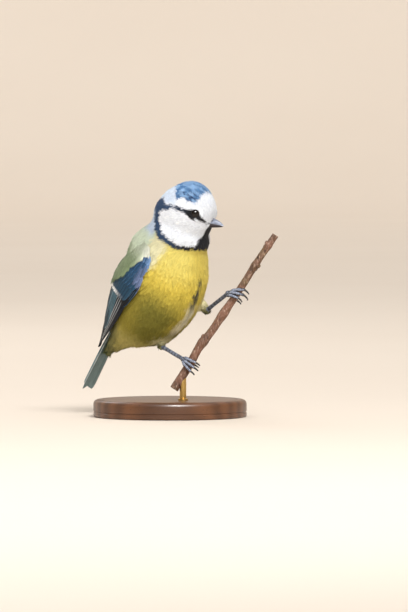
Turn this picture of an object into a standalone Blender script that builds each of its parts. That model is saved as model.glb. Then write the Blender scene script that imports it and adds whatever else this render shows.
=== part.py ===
"""Blue tit, life size, gripping a cut length of twig that a plain display stand holds up.

The row frame is in metres with +Z up. +X is the way the bird looks, -Y is the side that the
viewer stands on, and the origin is the centre of the underside of the stand's round base.
Shapes are worked out in millimetres and scaled once, when a node is finished.
"""

from math import cos, exp, pi, radians, sin, sqrt, tan, tau

import bmesh
import bpy
from mathutils import Matrix, Vector
from mathutils.bvhtree import BVHTree

MM = 0.001
GAP = 0.3  # clearance between two nodes that touch

# Where the bird sits over the base, and how it leans. Yaw turns towards the viewer.
BODY_CENTRE = Vector((-4.5, 5.0, 56.4))
BODY_YAW, BODY_PITCH = 37.0, 54.0
HEAD_CENTRE = Vector((7.3, -4.5, 93.2))
HEAD_YAW, HEAD_PITCH = 22.0, -8.0

# Stations along the torso, tail to neck: place, height of the middle, half width, half depth.
TORSO = (
    (-38.5, 8.4, 2.2, 1.5),
    (-35.0, 7.0, 4.2, 3.5),
    (-30.0, 4.8, 6.8, 6.2),
    (-24.0, 2.4, 11.2, 11.2),
    (-17.0, 0.4, 15.2, 15.6),
    (-8.0, -0.2, 18.0, 17.9),
    (2.0, 0.4, 19.2, 19.6),
    (11.0, 3.0, 19.2, 20.6),
    (19.0, 4.7, 17.7, 19.2),
    (26.0, 5.5, 14.8, 15.4),
    (31.0, 5.8, 11.0, 11.4),
)
# Stations along the head, nape to face: place, top, bottom, half width.
HEAD = (
    (-14.4, 1.0, -4.5, 2.6),
    (-12.8, 4.8, -8.6, 7.0),
    (-9.0, 9.2, -12.2, 10.6),
    (-4.0, 12.6, -14.4, 12.4),
    (1.0, 14.7, -14.8, 12.8),
    (5.0, 14.2, -13.8, 12.2),
    (8.6, 12.3, -11.8, 10.3),
    (11.2, 9.6, -9.4, 7.8),
    (13.0, 6.8, -5.6, 5.0),
    (14.1, 4.9, -1.2, 2.6),
)
NECK_RADII = (11.5, 14.6, 14.4)
NECK_AT = (29.0, 0.0, 6.8)
HEAD_CUT_AT, HEAD_CUT_NORMAL = (0.0, 0.0, -13.5), (0.36, 0.0, 0.933)
NECK_CUT_DROP = 7.5

# Bill, in the head's frame.
BILL_ROOT_X, BILL_TIP_X = 12.0, 19.3
BILL_MOUTH_Z = -3.2
BILL_GAPE = 0.16
BILL_UPPER_DEPTH, BILL_LOWER_DEPTH = 2.6, 1.9
BILL_HALF_WIDTH = 2.25
NOSTRIL_RADIUS = 0.42

# Eyes, in the head's frame.
EYE_AT = (7.7, 8.2, 1.0)
EYE_RADIUS = 2.5
LID_RADIUS, LID_THICK = 1.95, 0.36
EYE_TURN = 24.0  # degrees that each eye looks forward of straight out

# Wing, as its upper and lower edges on the bird's side: along the body, out, up.
WING_UPPER = (
    (19.5, 13.2, 12.4),
    (4.0, 12.4, 16.8),
    (-10.0, 10.2, 16.4),
    (-25.0, 6.6, 13.6),
    (-40.5, 1.0, 12.0),
)
WING_LOWER = (
    (20.5, 17.8, 2.6),
    (6.0, 20.3, -2.4),
    (-8.0, 19.0, -0.2),
    (-22.0, 14.0, 3.6),
    (-41.0, 3.2, 11.7),
)
WING_BULGE = 0.17  # height of the wing's curve over its chord
VANE = 0.55  # thickness of a feather's vane
# Rows of wing feathers, lowest first: how many, where they start along the wing, where the first
# one ends and how much sooner each next one does, then the place of its exposed edge across the
# wing with the step to the next, at the start and at the tip, its width and its height.
WING_ROWS = (
    (7, 0.43, 1.00, 0.028, 0.97, 0.062, 0.96, 0.095, 4.8, 0.45),  # primaries
    (5, 0.41, 0.81, 0.016, 0.60, 0.066, 0.66, 0.080, 5.8, 0.75),  # secondaries
    (3, 0.37, 0.72, 0.100, 0.36, 0.080, 0.40, 0.080, 5.6, 1.15),  # tertials
    (3, 0.27, 0.50, 0.030, 0.97, 0.050, 0.985, 0.055, 4.2, 0.90),  # primary coverts
    (7, 0.25, 0.475, 0.0, 0.84, 0.100, 0.87, 0.100, 5.2, 1.20),  # greater coverts
    (1, 0.08, 0.36, 0.0, 0.97, 0.0, 0.99, 0.0, 3.6, 1.20),  # alula
    (6, 0.12, 0.30, 0.0, 0.89, 0.130, 0.91, 0.130, 5.2, 1.35),  # median coverts
    (5, 0.03, 0.185, 0.0, 0.87, 0.150, 0.89, 0.150, 5.4, 1.40),  # lesser coverts
)

# Tail, in the body's frame.
TAIL_ROOT = Vector((-22.0, 0.0, 11.0))
TAIL_LENGTH = 39.5
TAIL_RISE = -4.5  # degrees that the tail lifts towards the back
TAIL_HALF_ROOT, TAIL_HALF_TIP = 2.0, 3.0  # half spread of the shafts
RECTRICES = 12
TAIL_STEM = ((6.0, 4.4, 2.8), (1.0, 4.2, 2.4), (-5.0, 3.9, 1.8), (-10.0, 3.0, 1.1), (-12.0, 2.0, 0.6))

# Twig: its axis runs through the bird's feet, straight up to the right.
TWIG_LOW, TWIG_HIGH = Vector((1.9, -10.0, 13.1)), Vector((47.9, -10.0, 83.2))
TWIG_AXIS = (TWIG_HIGH - TWIG_LOW).normalized()
TWIG_RADIUS_LOW, TWIG_RADIUS_HIGH = 2.0, 1.5
TO_VIEWER = Vector((0.0, -1.0, 0.0))
TO_BIRD = TO_VIEWER.cross(TWIG_AXIS).normalized()  # across the twig, up to the left
# Swellings of the twig, as share of its length, spread, height, and its buds with turn and size.
SWELLINGS = ((0.30, 0.028, 0.42), (0.49, 0.040, 0.40), (0.80, 0.022, 0.30), (0.93, 0.018, 0.26))
BUDS = ((0.315, 0.5, 0.95), (0.80, 3.0, 0.85), (0.93, -0.3, 0.8))

# Legs, and the share of the twig's length that each foot grips.
LEGS = {
    "right": {"hip": Vector((-4.5, 4.0, 43.0)), "heel": Vector((-4.0, 2.2, 32.4)), "grip": 0.165},
    "left": {"hip": Vector((8.5, 6.5, 58.5)), "heel": Vector((16.4, 3.2, 48.6)), "grip": 0.595},
}
# Each toe: slide along the twig at its root and at its end, turn and height over the bark at its end,
# then how far its claw slides.
TOES = {
    "right": {
        "inner": (0.9, 1.7, 120, 1.7, -0.5),
        "middle": (0.0, -0.7, 126, 1.9, -0.6),
        "outer": (-0.9, -2.9, 118, 1.6, -0.9),
        "hind": (0.0, 0.3, -124, 1.5, -0.2),
    },
    "left": {
        "inner": (0.9, 5.6, 114, 2.6, -0.9),
        "middle": (0.2, 3.4, 122, 3.4, -1.3),
        "outer": (-0.8, 0.9, 114, 1.9, -0.9),
        "hind": (0.0, -0.5, -122, 1.8, -0.6),
    },
}
PALM_OUT = 1.75
CLAW_RADIUS = 0.62
# Steps along a claw: further round the twig, further out, share of its slide.
CLAW_STEPS = ((4, 0.25, 0.0), (15, 1.05, 0.2), (27, 1.35, 0.6), (41, 0.35, 1.0))
TARSUS_RADIUS, HEEL_RADIUS, TOE_RADIUS = 0.78, 1.2, 0.72

# Stand.
BASE_RADIUS, BASE_HEIGHT = 35.0, 8.0
ROD_RADIUS, ROD_AT = 1.5, 0.09  # share of the twig's length where the rod meets it


def frame(origin, yaw, pitch):
    """Forward, left and up as the axes of a matrix."""
    yaw, pitch = radians(yaw), radians(pitch)
    forward = Vector((cos(pitch) * cos(yaw), -cos(pitch) * sin(yaw), sin(pitch)))
    left = Vector((sin(yaw), cos(yaw), 0.0))
    up = forward.cross(left)
    turn = Matrix((forward, left, up)).transposed().to_4x4()
    return Matrix.Translation(origin) @ turn


BODY = frame(BODY_CENTRE, BODY_YAW, BODY_PITCH)
SKULL = frame(HEAD_CENTRE, HEAD_YAW, HEAD_PITCH)


def material(name, colour, roughness=0.6, metallic=0.0):
    made = bpy.data.materials.new(name)
    made.use_nodes = True
    shader = made.node_tree.nodes["Principled BSDF"]
    shader.inputs["Base Color"].default_value = (*colour, 1.0)
    shader.inputs["Roughness"].default_value = roughness
    shader.inputs["Metallic"].default_value = metallic
    made.diffuse_color = (*colour, 1.0)
    return made


def along(stations, place):
    """Smooth curve through the stations, read where the first number equals place."""
    rows = [tuple(row) for row in stations]
    if rows[0][0] > rows[-1][0]:
        rows.reverse()
    place = min(max(place, rows[0][0]), rows[-1][0])
    i = max(j for j in range(len(rows) - 1) if rows[j][0] <= place or j == 0)
    span = rows[i + 1][0] - rows[i][0]
    return smooth_point(rows, i, (place - rows[i][0]) / span)


def smooth_point(rows, i, t):
    """Catmull-Rom point between rows i and i + 1."""
    before, after = rows[max(i - 1, 0)], rows[min(i + 2, len(rows) - 1)]
    found = []
    for a, b, c, d in zip(before, rows[i], rows[i + 1], after):
        slope_b, slope_c = (c - a) / 2, (d - b) / 2
        found.append(
            b * (2 * t**3 - 3 * t**2 + 1)
            + slope_b * (t**3 - 2 * t**2 + t)
            + c * (3 * t**2 - 2 * t**3)
            + slope_c * (t**3 - t**2)
        )
    return found


def on_curve(rows, t):
    """Point at share t of a smooth curve through evenly spaced rows."""
    t = min(max(t, 0.0), 1.0) * (len(rows) - 1)
    i = min(int(t), len(rows) - 2)
    return Vector(smooth_point(rows, i, t - i))


def loft(rings):
    """Closed bmesh: the first ring's face is extruded from ring to ring."""
    bm = bmesh.new()
    place = bm.verts.layers.int.new("place")
    bmesh.ops.create_circle(bm, cap_ends=True, radius=1.0, segments=len(rings[0]))
    bm.faces.ensure_lookup_table()
    end = bm.faces[0]
    for i, vert in enumerate(end.verts):
        vert[place] = i
        vert.co = rings[0][i]
    for step, ring in enumerate(rings[1:]):
        if step == 0:
            made = bmesh.ops.extrude_face_region(bm, geom=[end])["geom"]
        else:
            made = bmesh.ops.extrude_discrete_faces(bm, faces=[end])["faces"]
        end = next(g for g in made if isinstance(g, bmesh.types.BMFace))
        for vert in end.verts:
            vert.co = ring[vert[place]]
    bmesh.ops.recalc_face_normals(bm, faces=bm.faces)
    return bm


def circle(centre, side, up, half_side, half_up, count):
    return [
        centre + side * (half_side * cos(tau * k / count)) + up * (half_up * sin(tau * k / count))
        for k in range(count)
    ]


def tube(points, radii, count):
    """Closed tube along points, with a turning frame that doesn't twist."""
    rings, side = [], None
    for i, point in enumerate(points):
        tangent = (points[min(i + 1, len(points) - 1)] - points[max(i - 1, 0)]).normalized()
        if side is None:
            side = tangent.orthogonal()
        side = (side - tangent * side.dot(tangent)).normalized()
        rings.append(circle(point, side, tangent.cross(side), radii[i], radii[i], count))
    return loft(rings)


def ellipsoid(place, centre, radii, level=3):
    bm = bmesh.new()
    bmesh.ops.create_icosphere(bm, subdivisions=level, radius=1.0)
    bmesh.ops.scale(bm, vec=radii, verts=bm.verts)
    bmesh.ops.translate(bm, vec=centre, verts=bm.verts)
    bmesh.ops.transform(bm, matrix=place, verts=bm.verts)
    return bm


def drawn(name, bm):
    """A mesh object, in millimetres, that a finished node is made from."""
    triangulate = [f for f in bm.faces if len(f.verts) > 3]
    bmesh.ops.triangulate(bm, faces=triangulate, quad_method="FIXED")
    mesh = bpy.data.meshes.new(name)
    bm.to_mesh(mesh)
    bm.free()
    made = bpy.data.objects.new(name, mesh)
    bpy.context.scene.collection.objects.link(made)
    return made


def settle(obj):
    """Applies the object's modifiers."""
    graph = bpy.context.evaluated_depsgraph_get()
    mesh = bpy.data.meshes.new_from_object(obj.evaluated_get(graph))
    obj.modifiers.clear()
    obj.data = mesh
    return obj


def fused(name, pieces):
    """One closed body from overlapping closed pieces, by one Boolean union."""
    keep, rest = pieces[0], pieces[1:]
    keep.name = name
    if rest:
        group = bpy.data.collections.new(name + "_pieces")
        bpy.context.scene.collection.children.link(group)
        for piece in rest:
            group.objects.link(piece)
        union = keep.modifiers.new("join", "BOOLEAN")
        union.operation = "UNION"
        union.operand_type = "COLLECTION"
        union.collection = group
        union.solver = "MANIFOLD"
        settle(keep)
        for piece in rest:
            bpy.data.objects.remove(piece)
        bpy.data.collections.remove(group)
    return largest_part(keep)


def largest_part(obj):
    """Keeps only the closed surface with most volume, and drops loose scraps."""
    bm = bmesh.new()
    bm.from_mesh(obj.data)
    bmesh.ops.remove_doubles(bm, verts=bm.verts, dist=1e-4)
    left, shells = set(bm.faces), []
    while left:
        shell, edge = set(), [left.pop()]
        while edge:
            face = edge.pop()
            shell.add(face)
            for near in (other for e in face.edges if len(e.link_faces) == 2 for other in e.link_faces):
                if near in left:
                    left.discard(near)
                    edge.append(near)
        shells.append(shell)
    size = [abs(sum(f.calc_center_median().dot(f.normal) * f.calc_area() for f in s)) for s in shells]
    best = shells[size.index(max(size))]
    bmesh.ops.delete(bm, geom=[f for f in bm.faces if f not in best], context="FACES")
    bm.to_mesh(obj.data)
    bm.free()
    return obj


def simplified(obj, degrees=4.5):
    """Merges the slivers that a union leaves between faces that are nearly in one plane."""
    bm = bmesh.new()
    bm.from_mesh(obj.data)
    bmesh.ops.dissolve_limit(bm, angle_limit=radians(degrees), verts=bm.verts, edges=bm.edges)
    bmesh.ops.triangulate(bm, faces=bm.faces)
    bm.to_mesh(obj.data)
    bm.free()
    return obj


def cut_away(obj, cutters, gap=GAP):
    """Cuts obj clear of each cutter by the gap."""
    for cutter in cutters:
        grown = inflated(cutter, gap)
        cut = obj.modifiers.new("clear", "BOOLEAN")
        cut.operation = "DIFFERENCE"
        cut.object = grown
        cut.solver = "MANIFOLD"
        settle(obj)
        bpy.data.objects.remove(grown)
    return largest_part(obj)


def inflated(obj, by):
    bm = bmesh.new()
    bm.from_mesh(obj.data)
    bm.normal_update()
    for vert, away in [(v, v.normal.copy()) for v in bm.verts]:
        vert.co += away * (by * vert.calc_shell_factor())
    return drawn(obj.name + "_grown", bm)


def halved(source, name, planes):
    """A copy of source, kept on the side that each plane's normal points to."""
    bm = bmesh.new()
    bm.from_mesh(source.data)
    for point, normal in planes:
        geometry = bm.verts[:] + bm.edges[:] + bm.faces[:]
        cut = bmesh.ops.bisect_plane(
            bm, geom=geometry, plane_co=point, plane_no=normal, clear_inner=True, dist=1e-5
        )
        rim = [g for g in cut["geom_cut"] if isinstance(g, bmesh.types.BMEdge)]
        bmesh.ops.edgeloop_fill(bm, edges=rim)
    bmesh.ops.recalc_face_normals(bm, faces=bm.faces)
    return drawn(name, bm)


def finished(obj, look, parent, pivot):
    """Scales a node to metres, puts its origin on pivot and its parent on top."""
    for face in obj.data.polygons:
        face.use_smooth = True
    obj.data.transform(Matrix.Translation(-pivot))
    obj.data.transform(Matrix.Scale(MM, 4))
    obj.data.set_sharp_from_angle(angle=radians(40))
    obj.data.materials.clear()
    obj.data.materials.append(look)
    obj.location = pivot * MM
    obj.parent = parent
    return obj


# Body and head


def torso_form():
    count, steps, rings = 28, 30, []
    first, last = TORSO[0][0], TORSO[-1][0]
    for step in range(steps + 1):
        x = first + (last - first) * step / steps
        _, middle, wide, deep = along(TORSO, x)
        ring = circle(Vector((x, 0, middle)), Vector((0, 1, 0)), Vector((0, 0, 1)), wide, deep, count)
        rings.append([BODY @ point for point in ring])
    return drawn("torso_form", loft(rings))


def head_form():
    count, steps, rings = 28, 26, []
    first, last = HEAD[0][0], HEAD[-1][0]
    for step in range(steps + 1):
        x = first + (last - first) * step / steps
        _, top, bottom, wide = along(HEAD, x)
        centre = Vector((x, 0, (top + bottom) / 2))
        ring = circle(centre, Vector((0, 1, 0)), Vector((0, 0, 1)), wide, (top - bottom) / 2, count)
        rings.append([SKULL @ point for point in ring])
    return drawn("head_form", loft(rings))


def body_form(voxel=0.9, smooth=12, triangles=3400):
    """Torso, neck and head as one smooth closed form, before it is parted."""
    pieces = [torso_form(), head_form(), drawn("neck_form", ellipsoid(BODY, NECK_AT, NECK_RADII))]
    whole = fused("body_form", pieces)
    remesh = whole.modifiers.new("voxels", "REMESH")
    remesh.mode = "VOXEL"
    remesh.voxel_size = voxel
    soften = whole.modifiers.new("soften", "SMOOTH")
    soften.factor, soften.iterations = 0.5, smooth
    settle(whole)
    count = sum(len(face.vertices) - 2 for face in whole.data.polygons)
    thin = whole.modifiers.new("thin", "DECIMATE")
    thin.ratio = triangles / count
    return settle(whole)


def seam_planes():
    """The two cuts, head from neck and neck from torso, as points and a shared normal."""
    normal = (SKULL.to_3x3() @ Vector(HEAD_CUT_NORMAL)).normalized()
    upper = SKULL @ Vector(HEAD_CUT_AT)
    return upper, upper - normal * NECK_CUT_DROP, normal


def eye_frame(side):
    """Centre of an eye, with +X the way that it looks. side is 1 on the left, -1 on the right."""
    x, y, z = EYE_AT
    turn = Matrix.Rotation(radians(side * (90 - EYE_TURN)), 4, "Z")
    return SKULL @ Matrix.Translation((x, side * y, z)) @ turn


def eyeball(side):
    """A globe whose rings run round the way that the eye looks."""
    bm = bmesh.new()
    bmesh.ops.create_uvsphere(bm, u_segments=14, v_segments=8, radius=EYE_RADIUS)
    turn = Matrix.Rotation(radians(90), 4, "Y")
    bmesh.ops.transform(bm, matrix=eye_frame(side) @ turn, verts=bm.verts)
    return drawn("eye", bm)


def lid(side, count=16, around=5):
    """Ring of skin round the opening of an eye."""
    place = eye_frame(side)
    depth = sqrt(EYE_RADIUS**2 - (LID_RADIUS - LID_THICK * 0.6) ** 2)
    bm = bmesh.new()
    centre = Vector((depth, LID_RADIUS, 0))
    section = circle(centre, Vector((1, 0, 0)), Vector((0, 1, 0)), LID_THICK * 1.5, LID_THICK, around)
    verts = [bm.verts.new(point) for point in section]
    edges = [bm.edges.new((verts[k], verts[(k + 1) % around])) for k in range(around)]
    bmesh.ops.spin(
        bm, geom=verts + edges, cent=(0, 0, 0), axis=(1, 0, 0), angle=tau, steps=count, use_merge=True
    )
    bmesh.ops.remove_doubles(bm, verts=bm.verts, dist=1e-4)
    bmesh.ops.recalc_face_normals(bm, faces=bm.faces)
    bmesh.ops.transform(bm, matrix=place, verts=bm.verts)
    return drawn("lid", bm)


def bill(upper):
    """One half of the bill: a pointed loft that is flat along the mouth."""
    count, steps, rings = 14, 9, []
    for step in range(steps + 1):
        share = step / steps
        tip = BILL_TIP_X if upper else BILL_TIP_X - 0.45
        x = BILL_ROOT_X - 0.6 + (tip - BILL_ROOT_X + 0.6) * share
        taper = (1 - share**1.9) ** 0.75
        wide = max(BILL_HALF_WIDTH * (1 - share**1.15) ** 0.9, 0.16)
        deep = max((BILL_UPPER_DEPTH if upper else BILL_LOWER_DEPTH) * taper, 0.22)
        sign = 1 if upper else -1
        mouth = BILL_MOUTH_Z + sign * BILL_GAPE / 2 - 0.3 * share**3 + 0.2 * sin(pi * share)
        ring = []
        for k in range(count):
            turn = pi * k / (count - 1)
            height = deep * max(sin(turn), 0.0) ** 0.9
            ring.append(SKULL @ Vector((x, wide * cos(turn), mouth + sign * height)))
        rings.append(ring)
    return drawn("bill", loft(rings))


def nostril(side):
    at = Vector((BILL_ROOT_X + 1.7, side * 1.75, BILL_MOUTH_Z + 1.5))
    return drawn("nostril", ellipsoid(SKULL, at, (NOSTRIL_RADIUS * 1.7, 0.6, NOSTRIL_RADIUS), level=1))


# Feather vanes


def vane(edge_points, back_points, normals, thick):
    """Closed slab between an exposed edge and the edge under its neighbour, triangles alike on both faces."""
    bm = bmesh.new()
    rows = []
    for edge, back, normal in zip(edge_points, back_points, normals):
        corners = (edge, edge + normal * thick, back + normal * thick, back)
        rows.append([bm.verts.new(corner) for corner in corners])
    for a, b in zip(rows, rows[1:]):
        for k in range(4):
            j = (k + 1) % 4
            if k == 3:  # the underside takes the same diagonal as the top
                bm.faces.new((a[0], b[3], b[0]))
                bm.faces.new((a[0], a[3], b[3]))
            elif k == 1:
                bm.faces.new((a[1], b[1], b[2]))
                bm.faces.new((a[1], b[2], a[2]))
            else:
                bm.faces.new((a[k], b[k], b[j]))
                bm.faces.new((a[k], b[j], a[j]))
    for end in (rows[0], rows[-1]):
        bm.faces.new((end[0], end[1], end[2]))
        bm.faces.new((end[0], end[2], end[3]))
    bmesh.ops.recalc_face_normals(bm, faces=bm.faces)
    return bm


def wing_point(side, t, v):
    """Point and outward normal of the wing's carrier: t runs to the wing tip, v from upper to lower edge."""
    upper, lower = on_curve(WING_UPPER, t), on_curve(WING_LOWER, t)
    chord = lower - upper
    outward = Vector((0, -chord.z, chord.y)).normalized()
    bulge = 4 * WING_BULGE * chord.length * (1 - 0.6 * t) * v * (1 - v)
    point = upper + chord * v + outward * bulge
    lean = radians(30 - 60 * v) * (1 - 0.6 * t)
    across = chord.normalized()
    normal = (outward * cos(lean) - across * sin(lean)).normalized()
    flip = Vector((1, side, 1))
    return BODY @ (point * flip), (BODY.to_3x3() @ (normal * flip)).normalized()


def wing_vane(side, start, tip, edge_start, edge_tip, width, height, lift=0.4, stations=5):
    """A feather along the wing. Its exposed edge runs from edge_start to edge_tip across the wing."""
    edges, backs, normals = [], [], []
    for k in range(stations):
        share = k / (stations - 1)
        t = start + (tip - start) * (1 - (1 - share) ** 1.5)
        v = edge_start + (edge_tip - edge_start) * share**0.8
        chord = (on_curve(WING_LOWER, t) - on_curve(WING_UPPER, t)).length
        close = 1 - 0.86 * share**6
        opening = 0.55 + 0.45 * min(1.0, share / 0.3)
        wide = width * close * opening / max(chord, 4.0)
        shift = (width / max(chord, 4.0) - wide) * 0.35
        edge, up = wing_point(side, t, v - shift)
        back, _ = wing_point(side, t, v - shift - wide)
        fade = 0.35 + 0.65 * (1 - share**3)
        edges.append(edge + up * (height + lift * fade))
        backs.append(back + up * (height - lift * 0.4 * fade))
        normals.append(up)
    return drawn("vane", vane(edges, backs, normals, VANE))


def wing_core(side, t_end=0.52, across=5, lengthwise=6, low=0.35, high=1.15):
    """The folded arm under the coverts, as a slab that follows the carrier."""
    rings = []
    for i in range(lengthwise + 1):
        t = 0.015 + t_end * i / lengthwise
        ends = sin(pi * min(1.0, (i + 0.6) / 2.2) / 2)
        taper = 1.0 if i < lengthwise - 1 else 0.75
        top, bottom = [], []
        for j in range(across + 1):
            v = 0.5 + (0.06 + 0.88 * j / across - 0.5) * (0.72 + 0.28 * ends)
            point, up = wing_point(side, t, v)
            rim = sin(pi * min(1.0, (min(j, across - j) + 0.5) / 1.6) / 2)
            top.append(point + up * (low + (high - low) * ends * rim * taper))
            bottom.append(point + up * low * 0.95)
        rings.append(top + bottom[::-1])
    return drawn("arm", loft(rings))


def wing(name, side, blockers):
    pieces = [wing_core(side)]
    for count, start, tip, tip_step, edge, edge_step, end, end_step, width, height in WING_ROWS:
        for k in range(count):
            edges = (edge - edge_step * k, end - end_step * k)
            pieces.append(wing_vane(side, start, tip - tip_step * k, *edges, width, height))
    return cut_away(simplified(fused(name, pieces)), blockers)


def tail_vane(k, half):
    """One of the tail's feathers: k 0 is the outermost of its side, on the underside of the fan."""
    side, place = half, (RECTRICES // 2 - 1 - k) / (RECTRICES // 2 - 1)
    lift = tan(radians(TAIL_RISE))
    edges, backs, normals, stations = [], [], [], 7
    length = TAIL_LENGTH * (0.965 + 0.035 * place)
    for i in range(stations):
        share = 1 - (1 - i / (stations - 1)) ** 1.4
        x = -length * share
        spread = TAIL_HALF_ROOT + (TAIL_HALF_TIP - TAIL_HALF_ROOT) * share
        shaft = spread * place
        close = 1 - 0.8 * (i / (stations - 1)) ** 7
        wide = (1.5 + 1.2 * min(1.0, share / 0.5)) * close
        height = -x * lift + 0.95 * (1 - place)
        outer = TAIL_ROOT + Vector((x, side * (shaft + wide * 0.62), height - 0.5))
        inner = TAIL_ROOT + Vector((x, side * (shaft - wide), height + 0.05))
        edges.append(BODY @ outer)
        backs.append(BODY @ inner)
        normals.append(BODY.to_3x3() @ Vector((0, 0, 1)))
    return drawn("vane", vane(edges, backs, normals, VANE))


def tail(torso):
    """Fan of feathers, with the soft root that holds them together and runs into the rump."""
    rings = []
    for x, wide, deep in TAIL_STEM:
        centre = TAIL_ROOT + Vector((x, 0, 0.5 + 0.09 * x))
        ring = circle(centre, Vector((0, 1, 0)), Vector((0, 0, 1)), wide, deep, 14)
        rings.append([BODY @ point for point in ring])
    pieces = [drawn("root", loft(rings))]
    for k in range(RECTRICES // 2):
        pieces += [tail_vane(k, 1), tail_vane(k, -1)]
    return cut_away(simplified(fused("tail", pieces)), [torso])


# Twig, legs and feet


def twig_radius(share):
    """Radius along the twig: it tapers, and swells at its buds and leaf scars."""
    plain = TWIG_RADIUS_LOW + (TWIG_RADIUS_HIGH - TWIG_RADIUS_LOW) * share
    return plain + sum(size * exp(-(((share - at) / wide) ** 2)) for at, wide, size in SWELLINGS)


def twig_point(share):
    """Axis of the twig, with the slight kinks that it has at its buds."""
    sway = 0.12 * sin(17 * share) + 1.0 * exp(-(((share - 0.27) / 0.08) ** 2))
    return TWIG_LOW.lerp(TWIG_HIGH, share) + TO_BIRD * sway


def bud(share, turn, size):
    """A small pointed bud that lies along the twig."""
    out = TO_BIRD * cos(turn) + TO_VIEWER * sin(turn)
    foot = twig_point(share) + out * (twig_radius(share) * 0.6)
    middle, tip = TWIG_AXIS * 0.9 + out * 0.75, TWIG_AXIS * 2.0 + out * 1.05
    points = [foot, foot + middle * size, foot + tip * size]
    return drawn("bud", tube(points, [0.75 * size, 0.7 * size, 0.16 * size], 7))


def perch():
    steps, count, rings = 30, 10, []
    for step in range(steps + 1):
        share = step / steps
        radius = twig_radius(share)
        bark = [1 + 0.035 * sin(3.1 * k + 9 * share) for k in range(count)]
        point = twig_point(share)
        rings.append(
            [
                point
                + (TO_BIRD * cos(tau * k / count) + TO_VIEWER * sin(tau * k / count)) * (radius * bark[k])
                for k in range(count)
            ]
        )
    whole = [drawn("twig", loft(rings))]
    whole += [bud(*spec) for spec in BUDS]
    return fused("perch", whole)


def grip_frame(grip):
    """At a foot: centre of the twig, the way along it, and the way to the palm."""
    axis = (twig_point(grip + 0.02) - twig_point(grip - 0.02)).normalized()
    palm = (TO_BIRD - axis * axis.dot(TO_BIRD)).normalized()
    return twig_point(grip), axis, palm


def grip_point(grip, turn, out, slide):
    """Point round the twig: turn in degrees from the palm towards the viewer, out from the bark."""
    centre, axis, palm = grip_frame(grip)
    radius = twig_radius(grip) + out
    turn = radians(turn)
    return centre + (palm * cos(turn) + TO_VIEWER * sin(turn)) * radius + axis * slide


def smooth_path(points, steps):
    return [on_curve([tuple(p) for p in points], k / steps) for k in range(steps + 1)]


def toe_points(grip, spec):
    root_slide, slide, turn, out, _ = spec
    way = 1 if turn > 0 else -1
    points = []
    for share, height in ((0.0, 1.25), (0.33, 1.45), (0.66, 1.35), (1.0, out)):
        at = way * 8 + (turn - way * 8) * share
        points.append(grip_point(grip, at, height, root_slide + (slide - root_slide) * share))
    return points


def toe(grip, spec):
    path = smooth_path(toe_points(grip, spec), 9)
    radii = [TOE_RADIUS * (1.0 + 0.15 * cos(tau * k / 3)) * (1.06 - 0.2 * k / 9) for k in range(10)]
    return drawn("toe", tube(path, radii, 7))


def claw(name, grip, spec):
    """A curved claw that carries on from the end of its toe, out of the bark and back down."""
    _, slide, turn, out, drop = spec
    way = 1 if turn > 0 else -1
    points = [
        grip_point(grip, turn + way * step, out + rise, slide + drop * share)
        for step, rise, share in CLAW_STEPS
    ]
    path = smooth_path(points, 6)
    radii = [CLAW_RADIUS * (1 - (k / 6) ** 1.2) + 0.08 for k in range(7)]
    return drawn(name, tube(path, radii, 7))


def leg(side, torso, twig):
    """Thigh, tarsus, foot and claws of one leg, as separate nodes."""
    spec, toes = LEGS[side], TOES[side]
    heel, grip = spec["heel"], spec["grip"]
    palm = grip_point(grip, 0, PALM_OUT, 0)
    knuckle = palm + (heel - palm).normalized() * 1.2
    hip = spec["hip"]
    shin = [hip.lerp(heel, s) for s in (0.0, 0.4, 0.75, 0.93)]
    thigh = drawn("thigh_" + side, tube(shin, [5.2, 4.0, 2.5, 1.45], 14))
    bend = heel + (heel - hip).normalized() * 0.3
    path = smooth_path([shin[-1].lerp(heel, 0.2), bend, bend.lerp(knuckle, 0.5), knuckle], 10)
    radii = [
        TARSUS_RADIUS + (HEEL_RADIUS - TARSUS_RADIUS) * exp(-(((k - 2.8) / 1.8) ** 2)) + 0.014 * k
        for k in range(11)
    ]
    shank = drawn("tarsus_" + side, tube(path, radii, 9))
    foot = [drawn("palm", ellipsoid(Matrix.Translation(palm), (0, 0, 0), (1.35, 1.35, 1.25), level=2))]
    foot += [toe(grip, toe_spec) for toe_spec in toes.values()]
    foot = cut_away(fused("foot_" + side, foot), [twig])
    cut_away(thigh, [torso])
    cut_away(shank, [thigh, foot])
    claws = [claw(f"claw_{side}_{name}", grip, toe_spec) for name, toe_spec in toes.items()]
    for nail in claws:
        cut_away(nail, [foot, twig])
    return thigh, shank, foot, claws


# Stand


def base():
    bm = bmesh.new()
    bmesh.ops.create_circle(bm, cap_ends=True, radius=BASE_RADIUS, segments=48)
    bm.faces.ensure_lookup_table()
    made = bmesh.ops.extrude_face_region(bm, geom=[bm.faces[0]])["geom"]
    top = [g for g in made if isinstance(g, bmesh.types.BMVert)]
    bmesh.ops.translate(bm, vec=(0, 0, BASE_HEIGHT), verts=top)
    bmesh.ops.recalc_face_normals(bm, faces=bm.faces)
    rim = [e for e in bm.edges if all(v.co.z > BASE_HEIGHT / 2 for v in e.verts)]
    bmesh.ops.bevel(
        bm, geom=rim, offset=1.6, offset_type="OFFSET", affect="EDGES", segments=3, profile=0.5, material=-1
    )
    foot = [e for e in bm.edges if all(v.co.z < 1e-6 for v in e.verts)]
    bmesh.ops.bevel(
        bm, geom=foot, offset=0.5, offset_type="OFFSET", affect="EDGES", segments=1, profile=0.5, material=-1
    )
    return drawn("stand_base", bm)


def rod(twig):
    at = twig_point(ROD_AT)
    low = Vector((at.x, at.y, BASE_HEIGHT + GAP))
    points = [low, low.lerp(Vector((at.x, at.y, at.z)), 0.5), Vector((at.x, at.y, at.z))]
    return cut_away(drawn("stand_rod", tube(points, [ROD_RADIUS] * 3, 18)), [twig])


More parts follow.
